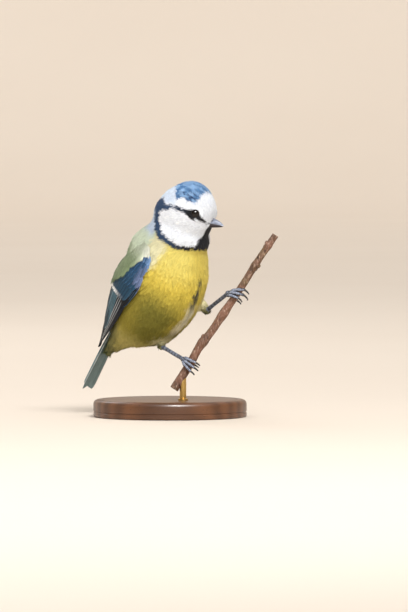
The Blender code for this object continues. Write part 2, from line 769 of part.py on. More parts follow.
def build():
    for old in list(bpy.data.objects):
        bpy.data.objects.remove(old)
    parent = bpy.data.objects.new("blue_tit", None)
    bpy.context.scene.collection.objects.link(parent)

    white = material("head_plumage", (0.86, 0.87, 0.88), 0.8)
    navy = material("collar_plumage", (0.07, 0.10, 0.17), 0.8)
    yellow = material("body_plumage", (0.62, 0.50, 0.09), 0.85)
    blue = material("wing_feathers", (0.06, 0.14, 0.26), 0.6)
    tail_blue = material("tail_feathers", (0.10, 0.19, 0.24), 0.6)
    horn = material("bill_horn", (0.10, 0.11, 0.13), 0.35)
    black = material("eye_gloss", (0.012, 0.009, 0.008), 0.08)
    slate = material("leg_skin", (0.20, 0.23, 0.26), 0.5)
    talon = material("claw_horn", (0.06, 0.06, 0.06), 0.35)
    bark = material("twig_bark", (0.30, 0.16, 0.10), 0.75)
    wood = material("stand_wood", (0.10, 0.055, 0.03), 0.4)
    brass = material("stand_brass", (0.60, 0.46, 0.22), 0.35, 1.0)

    whole = body_form()
    upper, lower, normal = seam_planes()
    half = normal * (GAP / 2)
    head = halved(whole, "head", [(upper + half, normal)])
    neck = halved(whole, "neck", [(upper - half, -normal), (lower + half, normal)])
    torso = halved(whole, "torso", [(lower - half, -normal)])
    bpy.data.objects.remove(whole)

    bill_upper, bill_lower = bill(True), bill(False)
    bill_upper.name, bill_lower.name = "bill_upper", "bill_lower"
    for side in (1, -1):
        hole = nostril(side)
        cut_away(bill_upper, [hole], 0.0)
        bpy.data.objects.remove(hole)
    head = fused("head", [head, lid(1), lid(-1)])
    eyes = {"eye_left": eyeball(1), "eye_right": eyeball(-1)}
    for name, eye in eyes.items():
        eye.name = name
    cut_away(head, list(eyes.values()))
    for half_bill in (bill_upper, bill_lower):
        cut_away(half_bill, [head])

    finished(head, white, parent, HEAD_CENTRE)
    for obj in (bill_upper, bill_lower):
        finished(obj, horn, parent, SKULL @ Vector((BILL_ROOT_X, 0, BILL_MOUTH_Z)))
    for side, eye in zip((1, -1), eyes.values()):
        finished(eye, black, parent, eye_frame(side).translation)

    twig = perch()
    for side in ("left", "right"):
        thigh, shank, foot, claws = leg(side, torso, twig)
        finished(thigh, yellow, parent, LEGS[side]["hip"])
        finished(shank, slate, parent, LEGS[side]["heel"])
        finished(foot, slate, parent, grip_point(LEGS[side]["grip"], 0, PALM_OUT, 0))
        for nail in claws:
            finished(nail, talon, parent, grip_point(LEGS[side]["grip"], 0, 0, 0))
    for name, side in (("wing_left", 1), ("wing_right", -1)):
        finished(wing(name, side, [torso, neck]), blue, parent, wing_point(side, 0, 0.5)[0])
    finished(tail(torso), tail_blue, parent, BODY @ TAIL_ROOT)
    stand_rod = rod(twig)
    finished(neck, navy, parent, BODY @ Vector(NECK_AT))
    finished(torso, yellow, parent, BODY_CENTRE)
    finished(twig, bark, None, TWIG_LOW)
    finished(stand_rod, brass, None, Vector((0, 0, BASE_HEIGHT)))
    finished(base(), wood, None, Vector((0, 0, 0)))


build()
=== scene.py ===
"""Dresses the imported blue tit: skin, coat of feathers, wings, tail, eyes, bill, feet, twig and stand.

Shapes are worked out in millimetres in the row frame and made in metres.
"""

from collections import namedtuple
from contextlib import contextmanager
from math import cos, pi, radians, sin, sqrt, tau

import bmesh
import bpy
import numpy as np
from mathutils import Matrix, Vector


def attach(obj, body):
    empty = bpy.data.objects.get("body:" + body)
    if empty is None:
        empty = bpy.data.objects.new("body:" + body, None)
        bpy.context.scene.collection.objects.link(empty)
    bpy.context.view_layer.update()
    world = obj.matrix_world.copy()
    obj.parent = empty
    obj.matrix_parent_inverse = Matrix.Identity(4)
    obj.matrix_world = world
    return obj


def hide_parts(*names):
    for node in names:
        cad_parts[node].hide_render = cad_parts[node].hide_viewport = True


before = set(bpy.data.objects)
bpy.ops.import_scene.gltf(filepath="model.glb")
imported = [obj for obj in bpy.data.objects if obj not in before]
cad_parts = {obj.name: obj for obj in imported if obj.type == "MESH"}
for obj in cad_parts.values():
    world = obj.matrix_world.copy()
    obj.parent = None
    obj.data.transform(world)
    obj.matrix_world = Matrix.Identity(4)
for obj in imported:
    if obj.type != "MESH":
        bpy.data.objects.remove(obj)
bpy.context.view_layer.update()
MM = 0.001

# Where the bird sits over the base, and how it leans. Yaw turns towards the viewer.
BODY_AT, BODY_YAW, BODY_PITCH = (-4.5, 5.0, 56.4), 37.0, 54.0
SKULL_AT, SKULL_YAW, SKULL_PITCH = (7.3, -4.5, 93.2), 22.0, -8.0
FLESH = ("head", "neck", "torso", "thigh_left", "thigh_right")
SIDES = ((1, "left"), (-1, "right"))

# Bill and eyes, in the head's frame.
BILL_ROOT_X, BILL_TIP_X, BILL_MOUTH_Z = 12.0, 19.3, -3.2
BILL_UPPER_DEPTH, BILL_LOWER_DEPTH, BILL_HALF_WIDTH = 2.6, 1.9, 2.25
NOSTRIL_X, NOSTRIL_RISE = BILL_ROOT_X + 1.7, 1.45
# No feather's root is further forward on the head, or nearer to the bill.
FACE_END_X, BILL_CLEAR = 13.9, 1.6
EYE_AT, EYE_RADIUS, EYE_TURN = (7.7, 8.2, 1.0), 2.5, 24.0
# Eyelid ring: how far feathers stay off, and its outline as depth and radius.
LID_RADIUS = 1.95
LID_OUTLINE = (
    (1.88, 1.60), (2.06, 1.68), (2.13, 1.80), (2.06, 1.92), (1.99, 2.08), (1.97, 2.5), (1.8, 3.1), (1.4, 3.0),
    (1.4, 1.8),
)

# Upper and lower edges of the folded wing: along the body, out, up.
WING_UPPER = (
    (19.5, 13.2, 12.4),
    (4.0, 12.4, 16.8),
    (-10.0, 10.2, 16.4),
    (-25.0, 6.6, 13.6),
    (-40.5, 1.0, 12.0),
)
WING_LOWER = (
    (20.5, 17.8, 2.6),
    (6.0, 20.3, -2.4),
    (-8.0, 19.0, -0.2),
    (-22.0, 14.0, 3.6),
    (-41.0, 3.2, 11.7),
)
WING_BULGE = 0.17
# Long feathers: points across them, thickness, and where the shaft runs across, from -1 to 1, with its width.
VANE_COLUMNS, VANE_THICK = 9, 0.14
SHAFT_AT, SHAFT_WIDTH = -0.28, 0.07

# Tail, in the body's frame.
TAIL_ROOT, TAIL_LENGTH, TAIL_RISE = (-22.0, 0.0, 11.0), 39.5, -4.5
TAIL_HALF_ROOT, TAIL_HALF_TIP = 2.0, 3.0

# Twig.
TWIG_LOW, TWIG_HIGH = Vector((1.9, -10.0, 13.1)), Vector((47.9, -10.0, 83.2))
TWIG_AXIS = (TWIG_HIGH - TWIG_LOW).normalized()
TWIG_RADIUS_LOW, TWIG_RADIUS_HIGH = 2.0, 1.5
TO_VIEWER = Vector((0.0, -1.0, 0.0))
TO_BIRD = TO_VIEWER.cross(TWIG_AXIS).normalized()
SWELLINGS = ((0.30, 0.028, 0.42), (0.49, 0.040, 0.40), (0.80, 0.022, 0.30), (0.93, 0.018, 0.26))
BUDS = ((0.315, 0.5, 0.95), (0.80, 3.0, 0.85), (0.93, -0.3, 0.8))

# Legs, and the share of the twig's length that each foot grips.
LEGS = {
    "right": {"hip": (-4.5, 4.0, 43.0), "heel": (-4.0, 2.2, 32.4), "grip": 0.165},
    "left": {"hip": (8.5, 6.5, 58.5), "heel": (16.4, 3.2, 48.6), "grip": 0.595},
}
# Each toe: slide along the twig at its root and at its end, turn and height over the bark at its end,
# then how far its claw slides.
TOES = {
    "right": {
        "inner": (0.9, 1.7, 120, 1.7, -0.5),
        "middle": (0.0, -0.7, 126, 1.9, -0.6),
        "outer": (-0.9, -2.9, 118, 1.6, -0.9),
        "hind": (0.0, 0.3, -124, 1.5, -0.2),
    },
    "left": {
        "inner": (0.9, 5.6, 114, 2.6, -0.9),
        "middle": (0.2, 3.4, 122, 3.4, -1.3),
        "outer": (-0.8, 0.9, 114, 1.9, -0.9),
        "hind": (0.0, -0.5, -122, 1.8, -0.6),
    },
}
PALM_OUT = 1.75
# Along each claw: turn past the toe's end, height over it, and share of the slide.
CLAW_STEPS = ((-1, 0.25, 0.0), (15, 1.05, 0.2), (27, 1.35, 0.6), (41, 0.35, 1.0))

# Stand: the base's outline and the rod's collar as radius and height, and the rod's place along the twig.
BASE_OUTLINE = (
    (0.0, 0.0), (34.0, 0.0), (34.6, 0.15), (35.0, 0.7), (35.0, 2.0), (34.75, 2.25), (34.75, 2.6), (35.0, 2.85),
    (35.0, 6.1), (34.75, 6.9), (34.2, 7.55), (33.4, 7.92), (32.4, 8.0), (31.2, 8.0), (30.9, 7.75), (30.6, 8.0),
    (0.0, 8.0),
)
ROD_RADIUS, ROD_AT = 1.5, 0.09
COLLAR = ((2.3, 8.02), (2.3, 8.5), (2.0, 8.8), (ROD_RADIUS, 8.95))

# Studio, in metres: where the lights point.
LIT_AT = Vector((0.01, 0.0, 0.06))
# Camera: the middle of what it frames, its rise over the floor, its distance and the frame's height.
CAMERA_AIM, CAMERA_RISE, CAMERA_FAR, FRAME_HEIGHT = (0.0155, -0.010, 0.0509), 2.0, 3.0, 0.2782


def ink(red, green, blue):
    """Linear colour from the values that a screen shows."""
    shown = np.array((red, green, blue)) / 255
    return np.where(shown > 0.04, ((shown + 0.055) / 1.055) ** 2.4, shown / 12.92)


def axes_of(origin, yaw, pitch):
    """A frame: its origin, and its forward, left and up as rows."""
    yaw, pitch = radians(yaw), radians(pitch)
    forward = np.array((cos(pitch) * cos(yaw), -cos(pitch) * sin(yaw), sin(pitch)))
    left = np.array((sin(yaw), cos(yaw), 0.0))
    return np.array(origin), np.array((forward, left, np.cross(forward, left)))


BODY = axes_of(BODY_AT, BODY_YAW, BODY_PITCH)
SKULL = axes_of(SKULL_AT, SKULL_YAW, SKULL_PITCH)


def into(points, at):
    return (np.asarray(points) - at[0]) @ at[1].T


def out_of(points, at):
    return np.asarray(points) @ at[1] + at[0]


def unit(vectors):
    return vectors / np.maximum(np.linalg.norm(vectors, axis=-1, keepdims=True), 1e-9)


def ease(low, high, value):
    """0 below low, 1 above high, smooth between. low may be the larger."""
    share = np.clip((value - low) / (high - low), 0, 1)
    return share * share * (3 - 2 * share)


def bell(value):
    """1 at 0, falling smoothly to 0 on both sides."""
    return np.exp(-np.square(value))


def laid(ways, normals):
    """The ways, laid flat on surfaces with these normals."""
    return unit(ways - normals * np.sum(ways * normals, -1, keepdims=True))


def pick(chosen, *rows):
    return [row[chosen] for row in rows]


def waves(points, size, seed):
    """Smooth noise of about -1 to 1 from a few sine waves, with patches about as wide as size."""
    rng = np.random.default_rng(seed)
    total = np.zeros(len(points))
    for _ in range(6):
        way = unit(rng.normal(size=3)) * tau / (size * rng.uniform(1.4, 3.2))
        total += np.sin(points @ way + rng.uniform(0, tau))
    return total / 3


def curve(rows, share):
    """Points at the given shares of a smooth curve through evenly spaced rows."""
    rows = np.array(rows, float)
    place = np.clip(np.asarray(share, float), 0, 1) * (len(rows) - 1)
    i = np.minimum(place.astype(int), len(rows) - 2)
    f = (place - i)[..., None]
    a, b, c, d = rows[np.maximum(i - 1, 0)], rows[i], rows[i + 1], rows[np.minimum(i + 2, len(rows) - 1)]
    rise, fall = (c - a) / 2, (d - b) / 2
    return (
        b * (2 * f**3 - 3 * f**2 + 1)
        + rise * (f**3 - 2 * f**2 + f)
        + c * (3 * f**2 - 2 * f**3)
        + fall * (f**3 - f**2)
    )


# Materials


class Wire:
    """A socket that Python's operators work on: each adds a Math node."""

    def __init__(self, look, socket):
        self.look, self.socket = look, socket

    def math(self, operation, *values):
        return self.look.node("Math", {"operation": operation}, *values)

    def __add__(self, other):
        return self.math("ADD", self, other)

    def __sub__(self, other):
        return self.math("SUBTRACT", self, other)

    def __rsub__(self, other):
        return self.math("SUBTRACT", other, self)

    def __mul__(self, other):
        return self.math("MULTIPLY", self, other)

    def sine(self):
        return self.math("SINE", self)

    def size(self):
        return self.math("ABSOLUTE", self)

    def between(self, low, high):
        """0 at low, 1 at high, clamped."""
        return self.look.node("MapRange", {"clamp": True}, self, low, high, 0.0, 1.0)


class Look:
    """A material that is built node by node."""

    def __init__(self, name, **constants):
        self.material = bpy.data.materials.new(name)
        self.material.use_nodes = True
        self.nodes = self.material.node_tree.nodes
        self.links = self.material.node_tree.links
        self.shader = self.nodes["Principled BSDF"]
        for key, value in constants.items():
            self.give(self.shader.inputs[key.replace("_", " ")], value)

    def give(self, socket, value):
        if isinstance(value, Wire):
            self.links.new(value.socket, socket)
        elif socket.type == "RGBA":
            socket.default_value = (*[float(c) for c in value], 1.0)
        else:
            socket.default_value = value

    def node(self, kind, settings=None, *values, output=0, **named):
        made = self.nodes.new("ShaderNode" + kind)
        for key, value in (settings or {}).items():
            setattr(made, key, value)
        for socket, value in list(zip(made.inputs, values)):
            if value is not None:
                self.give(socket, value)
        for key, value in named.items():
            self.give(made.inputs[key.replace("_", " ")], value)
        return Wire(self, made.outputs[output])

    def mix(self, share, first, second, blend="MIX"):
        made = self.nodes.new("ShaderNodeMix")
        made.data_type, made.blend_type = "RGBA", blend
        for index, value in ((0, share), (6, first), (7, second)):
            self.give(made.inputs[index], value)
        return Wire(self, made.outputs[2])

    def place(self, scale=(1, 1, 1), turn=(0, 0, 0), move=(0, 0, 0)):
        """Object coordinates, in metres, moved, turned and scaled."""
        spot = self.node("TexCoord", output=3)
        return self.node("Mapping", None, spot, Location=move, Rotation=turn, Scale=scale)

    def noise(self, scale, detail=4.0, roughness=0.55, where=None):
        where = where or self.place()
        return self.node("TexNoise", None, Vector=where, Scale=scale, Detail=detail, Roughness=roughness)

    def painted(self, name="plumage"):
        """A colour that is in the mesh."""
        return self.node("Attribute", {"attribute_name": name})

    def dimmed(self, colour, level):
        return self.mix(1.0, colour, self.node("CombineXYZ", None, level, level, level), "MULTIPLY")

    def bump(self, height, strength, distance=0.0002):
        return self.node("Bump", None, Strength=strength, Distance=distance, Height=height)

    def set(self, **values):
        for key, value in values.items():
            self.give(self.shader.inputs[key.replace("_", " ")], value)
        return self.material


def plume_look(name, dim=1.0, sheen=0.08):
    """Feathers whose colour is in the mesh, with fine barbs in colour and relief."""
    look = Look(name, Roughness=0.72, Sheen_Weight=sheen, Sheen_Roughness=0.4, Specular_IOR_Level=0.12)
    fine, patchy = look.noise(1600.0, 3.0), look.noise(260.0, 2.0)
    # dim below 1 darkens the whole colour. That is painted shade, as on the skin between the feathers.
    level = (fine - 0.5) * 0.20 + (patchy - 0.5) * 0.14 + dim
    return look.set(Base_Color=look.dimmed(look.painted(), level), Normal=look.bump(fine, 0.35, 0.00012))


def vane_look(name):
    """Flight feathers: barbs slant off the shaft, and the fringe has its own colour."""
    look = Look(name, Specular_IOR_Level=0.16)
    uv = look.node("UVMap", {"uv_map": "vane"})
    across, along = (look.node("SeparateXYZ", None, uv, output=part) for part in (0, 1))
    from_shaft = (across - (1 + SHAFT_AT) / 2).size()
    barbs = ((along - from_shaft * 0.35) * 620.0).sine() * 0.5 + 0.5
    cloudy = look.noise(420.0, 3.0)
    shaft = 1 - from_shaft.between(0.008, 0.028)
    edge = (0.5 - across).between(0.436, 0.464)
    level = barbs * 0.16 + (cloudy - 0.5) * 0.5 + 0.92
    tone = look.mix(edge, look.dimmed(look.painted(), level), look.painted("fringe"))
    tone = look.mix(shaft * 0.65, tone, ink(24, 24, 28))
    relief = barbs * 0.3 + shaft * 1.2 + cloudy * 0.4
    return look.set(Base_Color=tone, Roughness=cloudy * 0.2 + 0.42, Normal=look.bump(relief, 0.6, 0.00014))


def horn_look(name, base, pale, roughness, scale=900.0):
    look = Look(name, Specular_IOR_Level=0.3)
    cloudy = look.noise(scale)
    streak = look.noise(scale * 1.6, 2.0, where=look.place(scale=(1, 1, 3.5)))
    tone = look.mix(cloudy.between(0.35, 0.7) * 0.6, base, pale)
    tone = look.mix(1.0, tone, look.painted(), "MULTIPLY")
    relief = look.bump(cloudy * 0.6 + streak * 0.4, 0.3, 0.00012)
    return look.set(Base_Color=tone, Roughness=cloudy * 0.25 + roughness, Normal=relief)


def eye_look():
    """Dark brown iris round a black pupil, under a wet surface."""
    look = Look("eye_gloss", Specular_IOR_Level=0.4)
    cloudy = look.noise(2600.0, 3.0)
    tone = look.mix(cloudy * 0.5, look.painted(), ink(18, 12, 10))
    return look.set(Base_Color=tone, Roughness=cloudy * 0.03 + 0.03)


def bark_look():
    """Thin reddish-brown bark with grey patches, fine wrinkles along it and pale pores."""
    look = Look("twig_bark", Specular_IOR_Level=0.3)
    turn = TWIG_AXIS.to_track_quat("Z", "Y").inverted().to_euler()
    along = look.place(scale=(1, 1, 0.34), turn=tuple(turn))
    wrinkle, patch = look.noise(1700.0, 5.0, 0.65, along), look.noise(130.0, 3.0)
    red, brown = ink(126, 88, 70), ink(92, 66, 48)
    grey, olive = ink(188, 160, 142), ink(108, 94, 58)
    base = look.mix(patch.between(0.38, 0.62), red, brown)
    base = look.mix(look.noise(90.0, where=look.place(move=(0.3, 0, 0))).between(0.5, 0.72), base, olive)
    base = look.mix(wrinkle.between(0.5, 0.7) * 0.7, base, grey)
    pores = look.node("TexVoronoi", {"feature": "F1"}, Vector=along, Scale=820.0, Randomness=1.0)
    pore = 1 - pores.between(0.12, 0.24)
    base = look.mix(pore * 0.6, base, ink(216, 190, 168))
    deep = look.noise(900.0, 4.0, 0.7, along)
    base = look.mix(deep.between(0.46, 0.34) * 0.8, base, ink(50, 30, 24))
    relief = wrinkle * 0.7 + pore * 0.4 + deep * 0.9
    return look.set(Base_Color=base, Roughness=wrinkle * 0.25 + 0.5, Normal=look.bump(relief, 0.9, 0.0004))


def cut_wood_look():
    """End of the twig: pale wood with its rings round the pith."""
    look = Look("twig_cut", Specular_IOR_Level=0.2)
    grain = look.noise(2400.0, 3.0)
    tone = look.mix((grain - 0.5).size() * 0.8, look.painted(), ink(120, 88, 56))
    return look.set(Base_Color=tone, Roughness=grain * 0.2 + 0.6, Normal=look.bump(grain, 0.4, 0.0001))


def stand_wood_look():
    """Dark turned hardwood: long grain with short pores, under thin satin varnish."""
    look = Look("stand_wood", Coat_Weight=0.25, Coat_Roughness=0.22, Specular_IOR_Level=0.4)
    warp = look.noise(14.0, 2.0)
    grain = look.noise(260.0, 5.0, 0.6, look.place(scale=(0.07, 1, 1)))
    bands = look.node(
        "TexWave", {"wave_type": "BANDS", "bands_direction": "Y"}, Vector=look.place(scale=(0.12, 1, 1)),
        Scale=46.0, Distortion=5.5, Detail=3.0,
    )
    pores = look.noise(2300.0, 2.0, where=look.place(scale=(0.035, 1, 1))).between(0.6, 0.72)
    tone = look.mix(bands * 0.6 + grain * 0.4, ink(58, 36, 24), ink(112, 72, 46))
    tone = look.mix(pores * 0.7, tone, ink(30, 18, 12))
    tone = look.mix(warp.between(0.4, 0.8) * 0.25, tone, ink(134, 88, 56))
    relief = look.bump(grain * 0.4 - pores * 0.5, 0.25, 0.00015)
    return look.set(Base_Color=tone, Roughness=grain * 0.18 + 0.3, Normal=relief)


def brass_look():
    """Satin brass, drawn along its length and a little browned."""
    look = Look("stand_brass", Metallic=1.0)
    drawn = look.noise(3200.0, 3.0, where=look.place(scale=(1, 1, 0.05)))
    tone = look.mix(look.noise(320.0, 3.0).between(0.5, 0.75) * 0.6, ink(196, 164, 98), ink(130, 96, 52))
    return look.set(Base_Color=tone, Roughness=drawn * 0.3 + 0.2, Normal=look.bump(drawn, 0.15, 0.00005))


def floor_look():
    look = Look("floor_paper", Roughness=0.9, Specular_IOR_Level=0.1)
    return look.set(Base_Color=look.mix(look.noise(3.0, 2.0), ink(229, 218, 205), ink(225, 213, 199)))


# Meshes


def link(name, data):
    obj = bpy.data.objects.new(name, data)
    bpy.context.scene.collection.objects.link(obj)
    return obj


def dress(name, mesh, looks, replaced=()):
    """Adds a finished piece, attached to the root, and hides the imported parts that it replaces."""
    obj = link(name, mesh)
    for look in looks if isinstance(looks, (list, tuple)) else [looks]:
        mesh.materials.append(look)
    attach(obj, "root")
    if replaced:
        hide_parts(*replaced)


def mesh_of(name, points, triangles):
    """A mesh from arrays: points in millimetres and rows of three or four corners."""
    mesh = bpy.data.meshes.new(name)
    corners = triangles.shape[1]
    mesh.vertices.add(len(points))
    mesh.vertices.foreach_set("co", (points * MM).astype(np.float32).ravel())
    mesh.loops.add(triangles.size)
    mesh.loops.foreach_set("vertex_index", triangles.astype(np.int32).ravel())
    mesh.polygons.add(len(triangles))
    mesh.polygons.foreach_set("loop_start", np.arange(0, triangles.size, corners, dtype=np.int32))
    mesh.polygons.foreach_set("use_smooth", np.ones(len(triangles), bool))
    mesh.update(calc_edges=True)
    return mesh


def paint(mesh, name, colours):
    """A colour for each point of the mesh."""
    layer = mesh.attributes.new(name, "FLOAT_COLOR", "POINT")
    full = np.ones((len(mesh.vertices), 4), np.float32)
    full[:, :3] = colours
    layer.data.foreach_set("color", full.ravel())


def lay_out(mesh, name, uv):
    """A UV map from a place for each point of the mesh."""
    layer = mesh.uv_layers.new(name=name)
    corner = np.empty(len(mesh.loops), np.int32)
    mesh.loops.foreach_get("vertex_index", corner)
    layer.data.foreach_set("uv", uv[corner].astype(np.float32).ravel())


def vectors_of(elements, key):
    found = np.empty(len(elements) * 3, np.float32)
    elements.foreach_get(key, found)
    return found.reshape(-1, 3).astype(float)


def points_of(mesh):
    return vectors_of(mesh.vertices, "co") / MM


def normals_of(mesh):
    return vectors_of(mesh.vertices, "normal")


@contextmanager
def editing(mesh):
    """The mesh as a bmesh, which is written back at the end."""
    bm = bmesh.new()
    bm.from_mesh(mesh)
    yield bm
    bm.to_mesh(mesh)
    bm.free()


def turned(profile, axis, steps, closed=False):
    """Bmesh of a profile turned about an axis."""
    bm = bmesh.new()
    verts = [bm.verts.new(point) for point in profile]
    edges = [bm.edges.new(pair) for pair in zip(verts, verts[1:] + verts[:closed])]
    bmesh.ops.spin(bm, geom=verts + edges, cent=(0, 0, 0), axis=axis, angle=tau, steps=steps, use_merge=True)
    bmesh.ops.remove_doubles(bm, verts=bm.verts, dist=1e-4)
    bmesh.ops.recalc_face_normals(bm, faces=bm.faces)
    return bm


def loft(rings):
    """Closed bmesh, in millimetres: the first ring's face is extruded from ring to ring."""
    bm = bmesh.new()
    place = bm.verts.layers.int.new("place")
    bmesh.ops.create_circle(bm, cap_ends=True, radius=1.0, segments=len(rings[0]))
    bm.faces.ensure_lookup_table()
    end = bm.faces[0]
    for i, vert in enumerate(end.verts):
        vert[place] = i
        vert.co = rings[0][i]
    for step, ring in enumerate(rings[1:]):
        if step == 0:
            made = bmesh.ops.extrude_face_region(bm, geom=[end])["geom"]
        else:
            made = bmesh.ops.extrude_discrete_faces(bm, faces=[end])["faces"]
        end = next(g for g in made if isinstance(g, bmesh.types.BMFace))
        for vert in end.verts:
            vert.co = ring[vert[place]]
    bmesh.ops.recalc_face_normals(bm, faces=bm.faces)
    return bm


def joined(name, parts):
    """One mesh from several bmeshes in millimetres."""
    whole = bmesh.new()
    for bm in parts:
        part = bpy.data.meshes.new("part")
        bm.to_mesh(part)
        bm.free()
        whole.from_mesh(part)
        bpy.data.meshes.remove(part)
    bmesh.ops.scale(whole, vec=(MM, MM, MM), verts=whole.verts)
    mesh = bpy.data.meshes.new(name)
    for face in whole.faces:
        face.smooth = True
    whole.to_mesh(mesh)
    whole.free()
    return mesh


def tube(points, widths, count, depths=None, relief=None):
    """Tube along points. relief(step, turn) scales the radius, and depths flattens it."""
    rings, side, depths = [], None, widths if depths is None else depths
    for i, point in enumerate(points):
        tangent = (points[min(i + 1, len(points) - 1)] - points[max(i - 1, 0)]).normalized()
        if side is None:
            side = tangent.cross(TO_VIEWER).normalized()
        side = (side - tangent * side.dot(tangent)).normalized()
        up = tangent.cross(side)
        ring = []
        for k in range(count):
            turn = tau * k / count
            grow = relief(i, turn) if relief else 1.0
            ring.append(point + (side * cos(turn) * widths[i] + up * sin(turn) * depths[i]) * grow)
        rings.append(ring)
    return loft(rings)


# Markings. Places are in the head's frame (x forward, y left, z up) or the body's.

WHITE, DUSK, CAP = ink(231, 236, 244), ink(196, 211, 230), ink(92, 134, 180)
CAP_DEEP, CAP_PALE, NAVY, BLACK = ink(44, 60, 98), ink(136, 172, 210), ink(54, 74, 104), ink(36, 37, 41)
YELLOW, LEMON, CREAM = ink(212, 190, 78), ink(216, 201, 108), ink(216, 211, 174)
SHADED_OLIVE, VENT, STRIPE = ink(104, 102, 42), ink(190, 179, 104), ink(44, 48, 56)
MANTLE, MANTLE_PALE, RUMP = ink(136, 154, 118), ink(204, 214, 192), ink(140, 158, 112)
THIGH, KNEE = ink(232, 224, 176), ink(96, 94, 62)

# Outline of the white cheek, seen from the side.
CHEEK = (
    (14.5, -3.9), (12.6, -3.2), (10.4, -2.1), (7.2, -1.7), (4.2, 1.0), (0.3, 1.75), (-2.4, 1.85),
    (-4.6, 1.0), (-7.5, 0.4), (-8.5, -0.6), (-8.2, -3.6), (-6.3, -7.2), (-4.1, -10.3), (-0.7, -12.0),
    (1.8, -13.6), (5.0, -14.5), (8.6, -14.0), (10.4, -13.9), (14.0, -13.5),
)
# Dark line through the eye, which widens on the nape: place and half width.
EYE_LINE = (
    (13.3, -3.0, 0.35), (12.0, -2.2, 0.55), (10.6, -1.1, 0.95), (9.4, -0.2, 1.5), (7.7, 0.7, 2.25), (5.9, 1.1, 1.5),
    (3.7, 1.7, 0.7), (0.2, 2.45, 0.82), (-2.5, 2.45, 0.82), (-4.8, 1.9, 0.95), (-6.8, 2.2, 1.6), (-9.2, 2.4, 3.2),
    (-12.0, 1.6, 3.8),
)
# Outline of the blue cap, seen from the side.
CAP_EDGE = (
    (-3.5, 17.0), (-3.0, 9.8), (-1.4, 7.4), (0.2, 6.3), (2.2, 7.2), (4.7, 5.9), (7.8, 5.3), (8.9, 7.6),
    (9.4, 8.9), (10.1, 9.9), (10.5, 12.0), (9.5, 17.0),
)


def to_line(x, z, line):
    """Distance from points to a broken line of (x, z, half width), less the line's half width."""
    best = np.full(len(x), 1e9)
    for (ax, az, aw), (bx, bz, bw) in zip(line, line[1:]):
        step = np.array((bx - ax, bz - az))
        share = np.clip(((x - ax) * step[0] + (z - az) * step[1]) / (step @ step), 0, 1)
        gap = np.hypot(x - ax - step[0] * share, z - az - step[1] * share)
        best = np.minimum(best, gap - (aw + (bw - aw) * share))
    return best


def out_of_outline(x, z, outline):
    """Distance out of a closed outline, less than 0 inside it."""
    ring = [(*corner, 0.0) for corner in outline]
    away = to_line(x, z, ring + ring[:1])
    inside = np.zeros(len(x), bool)
    for (ax, az), (bx, bz) in zip(outline, outline[1:] + outline[:1]):
        crosses = (az > z) != (bz > z)
        reach = ax + (z - az) * (bx - ax) / (bz - az + 1e-12)
        inside ^= crosses & (x < reach)
    return np.where(inside, -away, away)


def blend(first, second, share):
    return first + (second - first) * np.asarray(share)[..., None]


def layered(colour, *coats):
    """The colour with tints laid over it, each by its share."""
    for tint, share in coats:
        colour = blend(colour, tint, share)
    return colour


def from_segment(points, first, second):
    """Distance of points from a segment."""
    first, step = np.array(first), np.array(second) - np.array(first)
    share = np.clip((points - first) @ step / (step @ step), 0, 1)
    return np.linalg.norm(points - first - share[:, None] * step, axis=1)


def body_markings(points):
    x, y, z = into(points, BODY).T
    side, drift = np.abs(y), waves(points, 6.0, 5)
    below = ease(4, -14, z)
    shoulder = ease(8.5, 4.2, np.hypot((x - 20.5) * 0.75, z - 5.5) + drift * 0.7) * ease(8, 12, side)
    belly = ease(4.0, 1.5, side + drift * 0.8) * ease(10, 2, x) * ease(-14, -5, x) * below
    wide = np.interp(x, (-4.0, 8.0, 12.0, 19.0), (0.7, 1.5, 1.3, 0.4)) + 0.6 * waves(points, 3.0, 8)
    stripe = ease(wide + 0.6, wide - 0.5, side) * ease(20.5, 18, x) * below
    colour = layered(
        blend(LEMON, YELLOW, ease(24, 10, x + drift)),
        # Olive on the rear belly and flanks, strongest low down. This is the flanks' own olive, darkened by painted
        # shade on the underside that turns away from the light.
        (SHADED_OLIVE, 0.9 * ease(15, -2, x + drift) * (0.72 + 0.28 * ease(0, -10, z))),
        (YELLOW, 0.5 * ease(10, 3, side + drift) * ease(-14, -4, x) * below),
        (VENT, 0.9 * ease(-15, -24, x + drift)),
        # Dark grey-olive on the rear flank under the wing's tip: painted shadow of the wing.
        (ink(92, 96, 66), 0.8 * ease(-14, -19, x + drift) * ease(1, 7, z)),
        (CREAM, shoulder),
        (ink(240, 234, 206), 0.85 * belly),
        (STRIPE, stripe * (0.45 + 0.5 * ease(5, 9, x)) * ease(-5, 0, x)),
    )
    for leg in LEGS.values():
        heel, hip = np.array(leg["heel"]), np.array(leg["hip"])
        near = ease(6.5, 3.5, from_segment(points, heel, heel + (hip - heel) * 0.4))
        knee = ease(3.6, 1.4, np.linalg.norm(points - heel, axis=1))
        colour = layered(colour, (THIGH, 0.7 * near), (KNEE, 0.75 * knee))
    back = layered(
        blend(MANTLE * 0.86, MANTLE, ease(2, 12, x + drift)),
        (MANTLE_PALE, ease(12, 21, x + drift * 2)),
        (DUSK, ease(21.5, 25.5, x + drift) * ease(9, 12, z)),
        (RUMP, ease(-10, -26, x)),
    )
    return blend(colour, back, ease(7.6, 9.4, z + drift * 0.5))


